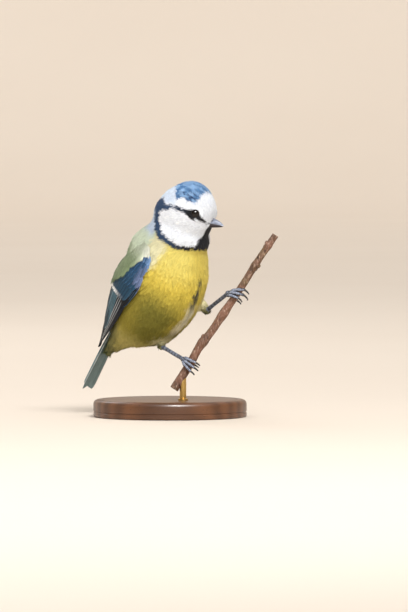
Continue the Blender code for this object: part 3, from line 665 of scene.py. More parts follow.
def head_markings(points):
    """Colour of the head, and how far each point belongs to it rather than to the body."""
    x, y, z = into(points, SKULL).T
    side = np.abs(y)
    wobble = 0.28 * waves(points, 1.6, 3)
    hind = 1.4 - 0.026 * np.minimum(side, 8) ** 2
    crown = ease(0.45, -0.45, out_of_outline(x + hind * ease(4, -2, x), z, CAP_EDGE) + wobble * 1.8)
    away = np.stack((x - 15.5, y, z + 2), 1)
    long = unit(away) * 17 + 0.16 * np.linalg.norm(away, axis=1)[:, None]
    streak, gleam = waves(long, 0.8, 12), waves(long, 1.2, 13)
    middle = ease(9.5, 6.5, x) * ease(-1.5, 1.5, x) * ease(11.5, 8.5, z)
    cap = layered(
        blend(CAP, ink(70, 112, 160), ease(3, -2, x)),
        (CAP_PALE, ease(-0.1, 0.8, gleam + 0.12 * (z - 8))),
        (CAP_DEEP, 0.95 * ease(-0.1, 0.45, streak) * (0.2 + 0.8 * middle)),
    )
    dusky = ease(1.5, -3.5, x) * ease(2.5, 5, z) * 0.7
    line = ease(0.3, -0.3, to_line(x, z, EYE_LINE) + wobble)
    outline = out_of_outline(x, z, CHEEK)
    ring = ease(-0.25, 0.3, outline + wobble) * ease(0.6, -0.6, z + 3.4 * ease(7.5, 10, x))
    narrow = 2.3 + 0.35 * np.clip(-5.5 - z, 0, 9) * ease(-8.5, -11, z) + 0.7 * ease(-4.7, -6.4, z)
    bib = ease(0.4, -0.4, side - narrow + wobble) * ease(-4.0, -4.8, z) * ease(2, 5, x)
    dark = np.clip(np.maximum(np.maximum(line, ring), bib), 0, 1)
    tone = blend(NAVY, BLACK, ease(-4, 7, x))
    colour = layered(np.tile(WHITE, (len(points), 1)), (DUSK, dusky), (cap, crown), (tone, dark))
    thick = np.interp(x, (-10, -5, 0, 5, 10), (3.1, 3.3, 2.6, 1.8, 1.4))
    beyond = ease(thick - 0.3, thick + 0.4, outline + wobble * 1.6) * ease(-3.4, -5.0, z)
    beyond = beyond * (1 - bib * ease(-15.4, -14.4, z))
    behind = ease(-10.6, -12.4, x + wobble) * ease(1.0, -2.0, z)
    return colour, 1 - np.maximum(beyond, behind)


def plumage(points):
    """Colour of the coat at points in millimetres."""
    head, share = head_markings(points)
    share = share * ease(-24, -18, into(points, SKULL)[:, 2])
    return blend(body_markings(points), head, share)


# Skin and coat


def make_skin():
    """One smooth skin inside the head, neck, torso and thighs, as deep as the coat over it."""
    parts = []
    for name in FLESH:
        bm = bmesh.new()
        bm.from_mesh(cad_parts[name].data)
        bmesh.ops.remove_doubles(bm, verts=bm.verts, dist=1e-6)
        bmesh.ops.scale(bm, vec=(1 / MM,) * 3, verts=bm.verts)
        parts.append(bm)
    mesh = joined("skin_form", parts)
    form = link("skin_form", mesh)
    remesh = form.modifiers.new("voxels", "REMESH")
    remesh.mode, remesh.voxel_size = "VOXEL", 0.75 * MM
    soften = form.modifiers.new("soften", "SMOOTH")
    soften.factor, soften.iterations = 0.5, 4
    graph = bpy.context.evaluated_depsgraph_get()
    skin = bpy.data.meshes.new_from_object(form.evaluated_get(graph))
    bpy.data.objects.remove(form)
    with editing(skin) as bm:
        bmesh.ops.triangulate(bm, faces=bm.faces)
        bm.normal_update()
    points = points_of(skin)
    sunk = points - normals_of(skin) * coat_depth(points)[:, None]
    skin.vertices.foreach_set("co", (sunk * MM).astype(np.float32).ravel())
    skin.update()
    for face in skin.polygons:
        face.use_smooth = True
    paint(skin, "plumage", plumage(points))
    lay_out(skin, "OFBake", unwrapped(points))
    return skin


def coat_depth(points):
    return 0.60 - 0.30 * head_share(points)


def head_share(points):
    """1 on the head, 0 on the body, smooth through the neck."""
    cut = into(points, SKULL) @ unit(np.array((0.36, 0.0, 0.933)))
    return ease(-18, -11, cut)


def unwrapped(points):
    """Place on an unwrap of the skin: rolled off round the head above, and round the body below."""
    head, body = into(points, SKULL), into(points, BODY)
    turn_head = np.arctan2(head[:, 1], head[:, 2]) / tau + 0.5
    turn_body = np.arctan2(body[:, 1], body[:, 2]) / tau + 0.5
    on_head = head_share(points) > 0.5
    u = np.where(on_head, turn_head, turn_body)
    v = np.where(on_head, 0.66 + 0.33 * (head[:, 0] + 17) / 34, 0.01 + 0.62 * (body[:, 0] + 42) / 84)
    return np.clip(np.stack((u, v), 1), 0.002, 0.998)


def lie_of(points, normals):
    """The way the feathers point: away from the bill on the head, and to the tail on the body."""
    head = unit(into(points, SKULL) - np.array((15.5, 0.0, -2.0))) @ SKULL[1]
    body = into(points, BODY)
    gather = ease(-20, -29, body[:, 0])
    spread = np.stack(
        (
            -np.ones(len(points)),
            body[:, 1] * (0.006 - 0.07 * gather),
            -0.12 * ease(0, -10, body[:, 2]) * (1 - gather) + 0.07 * gather * (9 - body[:, 2]),
        ),
        1,
    )
    way = unit(spread) @ BODY[1]
    near = head_share(points)[:, None]
    mixed = unit(head * near + way * (1 - near))
    flat = laid(mixed, normals)
    side = np.cross(normals, flat)
    veer = radians(9) * waves(points, 5.0, 21) + radians(5) * waves(points, 1.5, 22)
    return unit(flat * np.cos(veer)[:, None] + side * np.sin(veer)[:, None])


def scatter(mesh, spacing, seed):
    """Roots spread over the mesh, about spacing(points) apart, with their normals."""
    rng = np.random.default_rng(seed)
    points, corners = points_of(mesh), np.empty(len(mesh.polygons) * 3, np.int32)
    mesh.loops.foreach_get("vertex_index", corners)
    normals, corners = normals_of(mesh), corners.reshape(-1, 3)
    a, b, c = points[corners[:, 0]], points[corners[:, 1]], points[corners[:, 2]]
    area = np.linalg.norm(np.cross(b - a, c - a), axis=1) / 2
    room = spacing((a + b + c) / 3)
    wanted = area / room**2 * 4
    chosen = np.repeat(np.arange(len(area)), rng.poisson(wanted))
    rng.shuffle(chosen)
    first, second = rng.random((2, len(chosen)))
    over = first + second > 1
    first, second = np.where(over, 1 - first, first), np.where(over, 1 - second, second)
    share = np.stack((1 - first - second, first, second), 1)
    spots = np.einsum("ij,ijk->ik", share, points[corners[chosen]])
    ways = unit(np.einsum("ij,ijk->ik", share, normals[corners[chosen]]))
    step = 2 ** (np.round(np.log2(spacing(spots)) * 3) / 3)
    cell = np.floor(spots / (step[:, None] * 1.15)).astype(np.int64)
    key = cell @ np.array((1, 4099, 16777259)) + (step * 1000).astype(np.int64) * 7919
    _, keep = np.unique(key, return_index=True)
    return spots[keep], ways[keep]


def near_eye(points):
    """Distance from the line of sight of the nearer eye, in millimetres."""
    head = into(points, SKULL)
    head[:, 1] = np.abs(head[:, 1])
    centre = np.array(EYE_AT)
    way = np.array((sin(radians(EYE_TURN)), cos(radians(EYE_TURN)), 0.0))
    off = head - centre
    return np.linalg.norm(off - np.outer(off @ way, way), axis=1) + 50 * (off @ way < 0)


def near_bill(points):
    head = into(points, SKULL)
    return np.linalg.norm((head - (BILL_ROOT_X + 1.2, 0, BILL_MOUTH_Z)) / (1.0, 1.0, 1.1), axis=1)


def face_share(points):
    """1 beside the bill and round the eyes, where the feathers are smallest."""
    return np.maximum(ease(8.5, 3.0, near_bill(points)), ease(5.5, 2.2, near_eye(points)))


def near_knee(points):
    """1 where a thigh ends at its heel."""
    gaps = [np.linalg.norm(points - np.array(leg["heel"]), axis=1) for leg in LEGS.values()]
    return ease(7.0, 3.0, np.minimum(*gaps))


def plume_size(points):
    """Length and half width of the feathers that grow at points."""
    near, face = head_share(points), face_share(points)
    body = into(points, BODY)
    length = 4.9 - 2.3 * near + 1.0 * ease(-10, -20, body[:, 0]) * (1 - near)
    width = 1.0 + 0.15 * ease(8, 11, body[:, 2]) * (1 - near) - 0.48 * near
    ends = near_knee(points) * (1 - near)
    return length * (1 - 0.55 * face) * (1 - 0.45 * ends), width * (1 - 0.42 * face) * (1 - 0.3 * ends)


def plume_shape(barbs, reach=0.26, fringe=1.08, deep=0.82):
    """A feather as a small web under a fan of loose barbs: (along, across, lift, cup, tone) and its faces."""
    spots = [(0.0, -0.2), (0.0, 0.2), (0.42, -0.66), (0.42, 0.66), (0.84, 0.0)]
    faces, over = [(0, 1, 3), (0, 3, 2), (2, 3, 4)], [0.0] * 5
    # deep is the tone at the root of the web and barbs. It is painted shade under the feathers that lie over it. The
    # barbs' tips take the tone fringe.
    tones = [deep, deep, deep * 0.6 + 0.4, deep * 0.6 + 0.4, deep * 0.3 + 0.7]
    wide = 1.25 / barbs
    for k in range(barbs):
        t = -1 + 2 * k / (barbs - 1)
        root = np.array((0.14 + 0.44 * (1 - abs(t)), 0.10 * t))
        tip = np.array((0.78 + reach * sqrt(1 - 0.9 * t * t) + 0.035 * (-1) ** k, t * 0.96))
        middle = root + (tip - root) * 0.55 + np.array((0.0, 0.16 * t))
        start = len(spots)
        skew = np.array((wide * 0.4 * t, -wide))
        spots += [tuple(root), tuple(middle + skew), tuple(middle - skew), tuple(tip)]
        faces += [(start, start + 1, start + 2)[::-1], (start + 1, start + 3, start + 2)[::-1]]
        over += [0.012 + 0.012 * (k % 2)] * 4
        tone = 1.0 + 0.06 * (-1) ** k
        tones += [(deep + 0.06) * tone, 0.98 * tone, 0.98 * tone, fringe * tone]
    spots = np.array(spots)
    lift = spots[:, 0] - 0.5 * spots[:, 0] ** 2 + np.array(over)
    cup = -0.22 * spots[:, 1] ** 2 * np.minimum(1, spots[:, 0] * 2)
    return np.column_stack((spots, lift, cup, tones)), np.array(faces)[:, ::-1]


def strand_shape():
    """A single barb: a narrow strip that tapers to a point."""
    spots = [(0.0, -1.0), (0.0, 1.0), (0.5, -0.75), (0.5, 0.75), (1.0, 0.0)]
    faces = [(0, 1, 3), (0, 3, 2), (2, 3, 4)]
    spots = np.array(spots)
    lift = 1.25 * (spots[:, 0] - 0.42 * spots[:, 0] ** 2)
    # The barb is darker at its root: painted shade under the coat.
    return np.column_stack((spots, lift, np.zeros(5), (0.85, 0.85, 1.0, 1.0, 1.08))), np.array(faces)[:, ::-1]


def grown(name, roots, normals, lies, shape, length, width, colours, look, slot, seed, rise=0.2, loose=7.0):
    """A coat piece: the shape at every root, lying along the coat, each with its own colour."""
    rng = np.random.default_rng(seed)
    spots, faces = shape
    count, points = len(roots), len(spots)
    length = length * rng.uniform(0.82, 1.2, count)
    width = width * rng.uniform(0.85, 1.15, count)
    rise = rise * rng.uniform(0.75, 1.3, count)
    veer = rng.normal(0, radians(loose), count)
    sides = np.cross(normals, lies)
    lies = unit(lies * np.cos(veer)[:, None] + sides * np.sin(veer)[:, None])
    sides = np.cross(normals, lies)
    along = spots[None, :, 0] * length[:, None]
    across = spots[None, :, 1] * width[:, None]
    height = spots[None, :, 2] * (length * rise)[:, None] + spots[None, :, 3] * width[:, None]
    curl = rng.normal(0, 0.06, count)[:, None] * spots[None, :, 0] ** 2 * length[:, None]
    roll = rng.normal(0, 0.10, count)[:, None] * across
    made = (
        roots[:, None]
        + lies[:, None] * along[..., None]
        + sides[:, None] * (across + curl)[..., None]
        + normals[:, None] * (height + roll)[..., None]
    )
    base = colours * rng.normal(1.0, 0.06, count)[:, None]
    tones = np.clip(base[:, None] * spots[None, :, 4, None], 0, 0.96)
    index = faces[None] + (np.arange(count) * points)[:, None, None]
    mesh = mesh_of(name, made.reshape(-1, 3), index.reshape(-1, 3))
    paint(mesh, "plumage", tones.reshape(-1, 3))
    patch = np.column_stack((spots[:, 1] * 0.5, spots[:, 0] - 0.5)) * 0.003
    lay_out(mesh, "OFBake", (unwrapped(roots)[:, None] + patch[None]).reshape(-1, 2))
    dress(name, mesh, look)


def make_coat(skin, look):
    """Small feathers over the whole skin, then single barbs that soften them."""
    def spacing(points):
        return (0.80 - 0.27 * head_share(points)) * (1 - 0.34 * face_share(points))

    def near_wing(points):
        body = into(points, BODY)
        body[:, 1] = np.abs(body[:, 1])
        edge = curve(WING_LOWER, np.linspace(0.02, 0.19, 12))
        return ease(4.2, 1.2, np.linalg.norm(body[:, None] - edge[None], axis=2).min(1)) * ease(2.5, 0.5, body[:, 2])

    def rooted(room, seed, margin):
        roots, normals = scatter(skin, lambda points: spacing(points) * room, seed)
        clear = (near_eye(roots) > LID_RADIUS + margin) & (into(roots, SKULL)[:, 0] < FACE_END_X)
        roots, normals = pick(clear & (near_bill(roots) > BILL_CLEAR), roots, normals)
        over = near_wing(roots)
        lies = laid(lie_of(roots, normals) + 0.55 * over[:, None] * BODY[1][2], normals)
        length, width = plume_size(roots)
        length = length * (1 - 0.5 * ease(0.75, 0.95, -normals @ BODY[1][0]) * (1 - head_share(roots)))
        return roots, normals, lies, length * (1 + 0.25 * over), width, over

    roots, normals, lies, length, width, over = rooted(1.0, 11, 0.12)
    near, (hx, _, hz), (x, _, z) = head_share(roots), into(roots, SKULL).T, into(roots, BODY).T
    rise = 0.17 - 0.02 * near + 0.26 * near * ease(3, -1, hx) * ease(7, 10, hz) + 0.30 * over
    rise = rise + 0.25 * ease(-25, -31, x) * (1 - near) * ease(0.35, 0.8, -normals @ BODY[1][0])
    colours = plumage(roots + lies * (length * 0.6)[:, None] + normals * 0.3)
    upper, lower = plume_shape(7, deep=0.92), plume_shape(11)
    sets = (
        ("plumes_crown", (near > 0.5) & (hz > 1), upper, "head_plumage"),
        ("plumes_cheeks", (near > 0.5) & (hz <= 1), upper, "head_plumage"),
        ("plumes_breast", (near <= 0.5) & (z <= 9) & (x > 3), lower, "body_plumage"),
        ("plumes_belly", (near <= 0.5) & (z <= 9) & (x <= 3), lower, "body_plumage"),
        ("plumes_mantle", (near <= 0.5) & (z > 9), lower, "body_plumage"),
    )
    for k, (name, chosen, shape, slot) in enumerate(sets):
        places, sizes = pick(chosen, roots, normals, lies), pick(chosen, length, width, colours)
        grown(name, *places, shape, *sizes, look, slot, 31 + k, rise[chosen])
    roots, normals, lies, length, width, _ = rooted(0.74, 12, 0.4)
    colours = plumage(roots + lies * (length * 0.6)[:, None] + normals * 0.3)
    on_head = head_share(roots) > 0.5
    for k, (part, chosen) in enumerate((("head", on_head), ("body", ~on_head))):
        places, sizes = pick(chosen, roots, normals, lies), pick(chosen, length * 1.02, 0.055 + width * 0.05, colours)
        grown("barbs_" + part, *places, strand_shape(), *sizes, look, part + "_plumage", 51 + k, 0.20, 12.0)


# Wings and tail


def wing_surface(side, t, v):
    """Points and outward normals of the folded wing: t runs to its tip, v from its upper to its lower edge."""
    beyond = (t - np.clip(t, 0, 1))[..., None] * 4
    upper = curve(WING_UPPER, t) + beyond * (np.array(WING_UPPER[1]) - WING_UPPER[0])
    lower = curve(WING_LOWER, t) + beyond * (np.array(WING_LOWER[1]) - WING_LOWER[0])
    chord = lower - upper
    long = np.linalg.norm(chord, axis=-1)
    outward = unit(np.stack((np.zeros_like(t), -chord[..., 2], chord[..., 1]), -1))
    bulge = 4 * WING_BULGE * long * (1 - 0.6 * t) * v * (1 - v)
    point = upper + chord * v[..., None] + outward * bulge[..., None]
    lean = np.radians(30 - 60 * v) * (1 - 0.6 * t)
    normal = unit(outward * np.cos(lean)[..., None] - unit(chord) * np.sin(lean)[..., None])
    flip = np.array((1.0, side, 1.0))
    return out_of(point * flip, BODY), unit((normal * flip) @ BODY[1])


# A feather as a grid of points, with normals, colours and places on itself.
Vane = namedtuple("Vane", "points normals base fringe places")


def vane_profile(rows, blunt, opening=0.3):
    """Shares along and across, and how wide each row is."""
    s = 1 - (1 - np.linspace(0, 1, rows)) ** 1.35
    q = np.linspace(-1, 1, VANE_COLUMNS)
    close = np.sqrt(np.clip(1 - (np.clip(s - (1 - blunt), 0, 1) / blunt) ** 2.4, 0.0006, 1))
    start = 0.5 + 0.5 * np.minimum(1, s / opening)
    return s, q, close * start


def wing_vane(side, start, tip, edge, end, width, height, base, fringe, lift=0.4, blunt=0.3, rows=16, slope=0.0):
    s, q, open_ = vane_profile(rows, blunt)
    t = start + (tip - start) * s
    chord = np.maximum(np.linalg.norm(curve(WING_LOWER, t) - curve(WING_UPPER, t), axis=-1), 4.0)
    outer = edge + (end - edge) * s**0.8
    middle = outer - 0.45 * width / chord
    half = 0.5 * width * open_ / chord
    v = middle[:, None] - q[None] * half[:, None]
    grid_t = np.repeat(t[:, None], VANE_COLUMNS, 1)
    points, normals = wing_surface(side, grid_t, v)
    shaft = bell((q - SHAFT_AT) / SHAFT_WIDTH)
    fade = 0.35 + 0.65 * (1 - s**3)
    rise = height + lift * (0.3 - 0.7 * q[None]) * fade[:, None] + slope * (s[:, None] - 0.6)
    rise = rise + 0.10 * shaft[None] + 0.16 * (1 - q[None] ** 2) * np.minimum(1, s * 3)[:, None]
    points = points + normals * rise[..., None]
    return Vane(points, normals, base, fringe, vane_places(s, q))


def vane_places(s, q):
    across = (q + 1) / 2
    return np.stack(np.broadcast_arrays(across[None], s[:, None]), -1)


def vanes_mesh(name, vanes, underside_shade=0.55):
    """One mesh of many feathers, each closed, with its colours and its own map."""
    points, faces, base, fringe, places, start = [], [], [], [], [], 0
    for vane in vanes:
        rows, columns = vane.points.shape[:2]
        grid = np.arange(rows * columns).reshape(rows, columns)
        below = grid + rows * columns
        taper = np.linspace(1, 0.4, rows)[:, None, None]
        under = vane.points - vane.normals * VANE_THICK * taper
        points += [vane.points.reshape(-1, 3), under.reshape(-1, 3)]
        quads = [grid[:-1, :-1], grid[:-1, 1:], grid[1:, 1:], grid[1:, :-1]]
        top = np.stack([c.ravel() for c in quads], 1)
        bottom = top[:, ::-1] + rows * columns
        rim = np.concatenate((grid[0], grid[1:, -1], grid[-1, ::-1][1:], grid[::-1, 0][1:-1]))
        low = np.concatenate((below[0], below[1:, -1], below[-1, ::-1][1:], below[::-1, 0][1:-1]))
        walls = np.stack((rim, low, np.roll(low, -1), np.roll(rim, -1)), 1)
        faces.append(np.concatenate((top, bottom, walls)) + start)
        for colours, found in ((vane.base, base), (vane.fringe, fringe)):
            full = np.broadcast_to(colours, vane.points.shape).reshape(-1, 3)
            # The underside of each feather is painted darker by this factor: painted shade.
            found.extend((full, full * underside_shade))
        places += [vane.places.reshape(-1, 2)] * 2
        start += 2 * rows * columns
    mesh = mesh_of(name, np.concatenate(points), np.concatenate(faces))
    with editing(mesh) as bm:
        bmesh.ops.recalc_face_normals(bm, faces=bm.faces)
    paint(mesh, "plumage", np.clip(np.concatenate(base), 0, 1))
    paint(mesh, "fringe", np.clip(np.concatenate(fringe), 0, 1))
    lay_out(mesh, "vane", np.concatenate(places))
    return mesh


SLATE, SLATE_EDGE = ink(20, 25, 34), ink(222, 230, 236)
SEA, SEA_EDGE = ink(36, 66, 80), ink(116, 152, 168)
COBALT, COBALT_EDGE = ink(46, 84, 126), ink(84, 126, 172)
COVERT, COVERT_EDGE = ink(36, 72, 98), ink(70, 108, 138)
SHOULDER, CARPAL = ink(122, 156, 200), ink(132, 148, 192)
BAR = ink(252, 254, 255)
TAIL_BLUE, TAIL_EDGE = ink(138, 162, 164), ink(176, 198, 202)

# How far down the wing the shoulder's feathers reach, by place along it.
SCAPULAR_EDGE = (
    (0.0, 1.0), (0.04, 0.96), (0.08, 0.80), (0.14, 0.67), (0.19, 0.60), (0.305, 0.50), (0.385, 0.35), (0.42, 0.26),
    (0.47, 0.02),
)


def wing_rows(side):
    """The long feathers of a wing and its larger coverts, lowest first."""
    rng = np.random.default_rng(70)
    vanes = []

    def add(start, tip, edge, end, width, height, base, fringe, **more):
        tone, jitter = rng.normal(1.0, 0.05), rng.normal(0, 0.003)
        width = width * rng.uniform(0.95, 1.05)
        vanes.append(wing_vane(side, start, tip + jitter, edge, end, width, height, base * tone, fringe * tone, **more))

    web = np.linspace(-1, 1, VANE_COLUMNS)[None, :, None]
    inner = ease(-0.5, 0.1, web)
    long, short = (np.linspace(0, 1, rows)[:, None, None] for rows in (20, 16))
    sea, covert = SEA * (1 - 0.45 * inner), COVERT * (1 - 0.4 * inner)
    for k in range(8):  # Primaries
        rim = blend(SLATE * 1.8, SLATE_EDGE, min(1, max(0, k - 1) / 2))
        add(
            0.40, 1.0 - 0.0245 * k, 0.975 - 0.062 * k, 0.96 - 0.084 * k, 4.8, 0.42 + 0.05 * k, SLATE, rim,
            rows=20, blunt=0.1,
        )
    for k in range(6):  # Secondaries
        add(
            0.38, 0.815 - 0.014 * k, 0.60 - 0.055 * k, 0.66 - 0.067 * k, 5.6, 0.80 + 0.03 * k, sea, SEA_EDGE,
            rows=20, blunt=0.14,
        )
    pale = sea * 0.9 + (BAR - sea) * 0.7 * ease(0.9, 0.99, long)
    for k in range(3):  # Tertials
        add(
            0.35, 0.72 - 0.100 * k, 0.36 - 0.080 * k, 0.40 - 0.080 * k, 6.0, 1.15 + 0.02 * k, pale,
            ink(150, 176, 190), rows=20, blunt=0.22,
        )
    for k in range(5):  # Primary coverts
        add(
            0.24, 0.51 - 0.020 * k, 0.97 - 0.035 * k, 0.985 - 0.04 * k, 3.8, 0.95 + 0.02 * k, SLATE * 0.8,
            COVERT_EDGE, blunt=0.3,
        )
    for k in range(10):  # Greater coverts, whose tips make the wing bar
        strength = ease(9.5, 4.0, 9 - k) * 0.55 + 0.45 * ease(2, 6, k)
        white = strength * ease(0.76, 0.82, short)
        add(
            0.20, 0.462, 0.86 - 0.076 * k, 0.89 - 0.078 * k, 4.6, 1.22 + 0.02 * k, covert + (BAR - covert) * white,
            COVERT_EDGE + (BAR - COVERT_EDGE) * white, blunt=0.2, lift=0.3,
        )
    for k in range(3):  # Alula
        add(
            0.16, 0.42 - 0.05 * k, 0.97 - 0.03 * k, 0.985 - 0.03 * k, 2.8, 0.98 + 0.02 * k, SLATE, CARPAL,
            blunt=0.3,
        )
    for row in range(6):  # Median coverts
        tip = 0.105 + 0.044 * row
        tone = COBALT * 0.5 + SHOULDER * 0.5 if row == 0 else blend(COBALT, COVERT, row / 6)
        rim = blend(SHOULDER, COBALT_EDGE, min(1, row / 3))
        for v in 0.965 - 0.086 * np.arange(11) - 0.043 * (row % 2):
            if v > np.interp(tip, *np.array(SCAPULAR_EDGE).T) - 0.16:
                lilac = ease(0.80, 0.9, v) * ease(0.17, 0.21, tip) * ease(0.32, 0.28, tip)
                add(
                    tip - (0.115 if row else 0.07), tip, v, v + 0.01, 3.2, 1.02 + 0.08 * row,
                    blend(tone, CARPAL * 0.8, 0.7 * lilac) * (1 - 0.25 * inner), blend(rim, CARPAL, lilac),
                    blunt=0.6, lift=0.2, slope=0.5,
                )
    return vanes


def lattice(side, t, v, slant):
    """Roots, normals and lies on the wing at staggered rows of places, slanted towards its lower edge."""
    (t0, t1, rows), (v0, v1, columns) = t, v
    row, column = np.meshgrid(np.arange(rows), np.arange(columns), indexing="ij")
    rng = np.random.default_rng(rows * 100 + columns)
    t = t0 + (t1 - t0) * (row + rng.uniform(-0.2, 0.2, row.shape)) / (rows - 1)
    v = v0 + (v1 - v0) * (column + 0.5 * (row % 2) + rng.uniform(-0.2, 0.2, row.shape)) / columns
    t, v = t.ravel(), v.ravel()
    roots, normals = wing_surface(side, t, v)
    ahead = wing_surface(side, t + 0.01, v)[0] - wing_surface(side, t - 0.01, v)[0]
    down = wing_surface(side, t, v + 0.02)[0] - wing_surface(side, t, v - 0.02)[0]
    return t, v, roots, normals, laid(unit(unit(ahead) + unit(down) * slant), normals)


def make_wing_cover(side, word, look):
    """Soft lesser coverts on the shoulder, and the shoulder's green feathers over the wing's upper part."""
    t, v, roots, normals, lies = lattice(side, (0.035, 0.12, 8), (0.3, 1.0, 12), 0.0)
    colours = blend(ink(168, 192, 230), SHOULDER, ease(0.02, 0.07, t + 0.02 * waves(roots, 2.0, 61)))
    colours = blend(colours, COBALT_EDGE, ease(0.07, 0.12, t))
    grown(
        "lesser_coverts_" + word, roots + normals * (0.85 + 4.0 * np.clip(t, 0, 0.1))[:, None], normals, lies,
        plume_shape(11, 0.2, 1.25), 2.6, 0.95, colours, look, "wing_feathers", 61, 0.22, 5.0,
    )
    t, v, roots, normals, lies = lattice(side, (-0.03, 0.40, 24), (-0.24, 0.98, 24), 0.14)
    edge = np.interp(t + 0.09, *np.array(SCAPULAR_EDGE).T)
    keep = (v < edge - 0.05) & (v > -0.24 + 0.5 * ease(0.30, 0.42, t))
    t, v, roots, normals, lies = pick(keep, t, v, roots, normals, lies)
    tint = blend(MANTLE_PALE, MANTLE, ease(0.0, 0.16, t))
    tint = blend(tint, ink(226, 230, 216), ease(0.45, 0.75, v) * ease(0.07, 0.0, t))
    colours = blend(tint, MANTLE * 0.62, ease(0.16, 0.32, t)) * (1 + 0.07 * waves(roots, 3.0, 63))[:, None]
    lift = 0.3 + 1.9 * ease(-0.24, -0.04, v) - 0.9 * ease(0.06, -0.03, t) - 0.9 * ease(0.2, 0.38, t) * ease(0.4, 0.1, v)
    grown(
        "scapulars_" + word, roots + normals * lift[:, None], normals, lies, plume_shape(15, 0.2, 1.1),
        5.0, 1.45, colours, look, "body_plumage", 63, 0.10, 4.0,
    )


def tail_vanes():
    """Twelve tail feathers, the middle pair on top."""
    root, rise = np.array(TAIL_ROOT), radians(TAIL_RISE)
    rng = np.random.default_rng(80)
    vanes = []
    for k in range(6):
        place = (5 - k) / 5
        for side in (1, -1):
            s, q, open_ = vane_profile(22, 0.09, 0.5)
            length = TAIL_LENGTH * (0.965 + 0.035 * place)
            x = -length * s
            shaft = (TAIL_HALF_ROOT + (TAIL_HALF_TIP - TAIL_HALF_ROOT) * s) * place
            half = 2.25 * open_
            y = shaft[:, None] - q[None] * half[:, None] - 0.35 * half[:, None]
            ridge = bell((q - SHAFT_AT) / SHAFT_WIDTH)
            z = -x[:, None] * np.tan(rise) + 0.95 * (1 - place) + 0.1 + 0.28 * q[None]
            z = z + 0.10 * ridge[None] + 0.14 * (1 - q[None] ** 2)
            local = root + np.stack(np.broadcast_arrays(x[:, None], side * y, z), -1)
            normals = np.broadcast_to(BODY[1][2], local.shape)
            tone = TAIL_BLUE * rng.normal(1, 0.05)
            outer = place == 1.0
            fringe = BAR if outer else TAIL_EDGE
            vanes.append(Vane(out_of(local, BODY), normals, tone, fringe, vane_places(s, q)))
    return vanes


# Twig, legs and feet


def twig_radius(share):
    plain = TWIG_RADIUS_LOW + (TWIG_RADIUS_HIGH - TWIG_RADIUS_LOW) * share
    return plain + sum(size * bell((share - at) / wide) for at, wide, size in SWELLINGS)


def twig_point(share):
    sway = 0.12 * sin(17 * share) + bell((share - 0.27) / 0.08)
    return TWIG_LOW.lerp(TWIG_HIGH, share) + TO_BIRD * sway


def from_twig(points):
    """The shortest ways to points from the twig's axis."""
    off = points - np.array(TWIG_LOW)
    return off - np.outer(off @ np.array(TWIG_AXIS), TWIG_AXIS)


def grip_point(grip, turn, out, slide):
    """Point round the twig: turn in degrees from the palm towards the viewer, out from the bark."""
    axis = (twig_point(grip + 0.02) - twig_point(grip - 0.02)).normalized()
    palm = (TO_BIRD - axis * axis.dot(TO_BIRD)).normalized()
    turn = radians(turn)
    reach = twig_radius(grip) + out
    return twig_point(grip) + (palm * cos(turn) + TO_VIEWER * sin(turn)) * reach + axis * slide


def path_of(points, count):
    return [Vector(row) for row in curve([tuple(p) for p in points], np.linspace(0, 1, count))]


def toe_path(grip, spec, count):
    root_slide, slide, turn, out, _ = spec
    way = 1 if turn > 0 else -1
    points = []
    for share, height in ((0.0, 1.25), (0.33, 1.45), (0.66, 1.35), (1.0, out)):
        at = way * 8 + (turn - way * 8) * share
        points.append(grip_point(grip, at, height, root_slide + (slide - root_slide) * share))
    return path_of(points, count)


def scuted(points, radii, plates):
    """Leg or toe with overlapping plates in front and pads behind."""
    def relief(step, turn):
        share = step / (len(points) - 1)
        plate = 0.10 * (share * plates % 1.0 - 0.5) * max(0.0, cos(turn + pi)) ** 0.5
        pad = 0.07 * sin(tau * share * 3) * max(0.0, cos(turn))
        return 1 + plate + pad

    return tube(points, radii, 16, relief=relief)


def make_leg(side, look, claw_look):
    spec, toes = LEGS[side], TOES[side]
    hip, heel, grip = Vector(spec["hip"]), Vector(spec["heel"]), spec["grip"]
    palm = grip_point(grip, 0, PALM_OUT, 0)
    knuckle = palm + (heel - palm).normalized() * 0.4
    top = hip.lerp(heel, 0.86)
    bend = heel + (heel - hip).normalized() * 0.3
    stops = [top, bend.lerp(top, 0.25), bend, bend.lerp(knuckle, 0.35), bend.lerp(knuckle, 0.7), knuckle]
    path, share = path_of(stops, 90), np.linspace(0, 1, 90)
    shank = joined("shank_" + side, [scuted(path, 0.80 + 0.42 * bell((share - 0.36) / 0.13) + 0.14 * share, 14)])
    shade_plates(shank, [(path, 14)], 0.55)
    dress("shank_" + side, shank, look, ["tarsus_" + side])
    lines, share = [toe_path(grip, toe, 56) for toe in toes.values()], np.linspace(0, 1, 56)
    thick = 0.74 * (1 + 0.10 * np.cos(tau * 3 * share)) * (1.08 - 0.22 * share)
    parts = [scuted(line, thick, 11) for line in lines]
    ball = bmesh.new()
    bmesh.ops.create_icosphere(ball, subdivisions=4, radius=1.0)
    bmesh.ops.scale(ball, vec=(1.30, 1.30, 1.20), verts=ball.verts)
    bmesh.ops.translate(ball, vec=palm, verts=ball.verts)
    foot = joined("foot_skin_" + side, parts + [ball])
    shade_plates(foot, [(line, 11) for line in lines])
    dress("foot_skin_" + side, foot, look, ["foot_" + side])
    thick = 0.56 * (1 - np.linspace(0, 1, 22) ** 1.25) + 0.05
    for name, (_, slide, turn, out, drop) in toes.items():
        way = 1 if turn > 0 else -1
        points = [
            grip_point(grip, turn + way * step, out + rise, slide + drop * share) for step, rise, share in CLAW_STEPS
        ]
        nail = joined(f"nail_{side}_{name}", [tube(path_of(points, 22), thick * 0.78, 12, depths=thick)])
        paint(nail, "plumage", 1.0)
        dress(nail.name, nail, claw_look, [f"claw_{side}_{name}"])


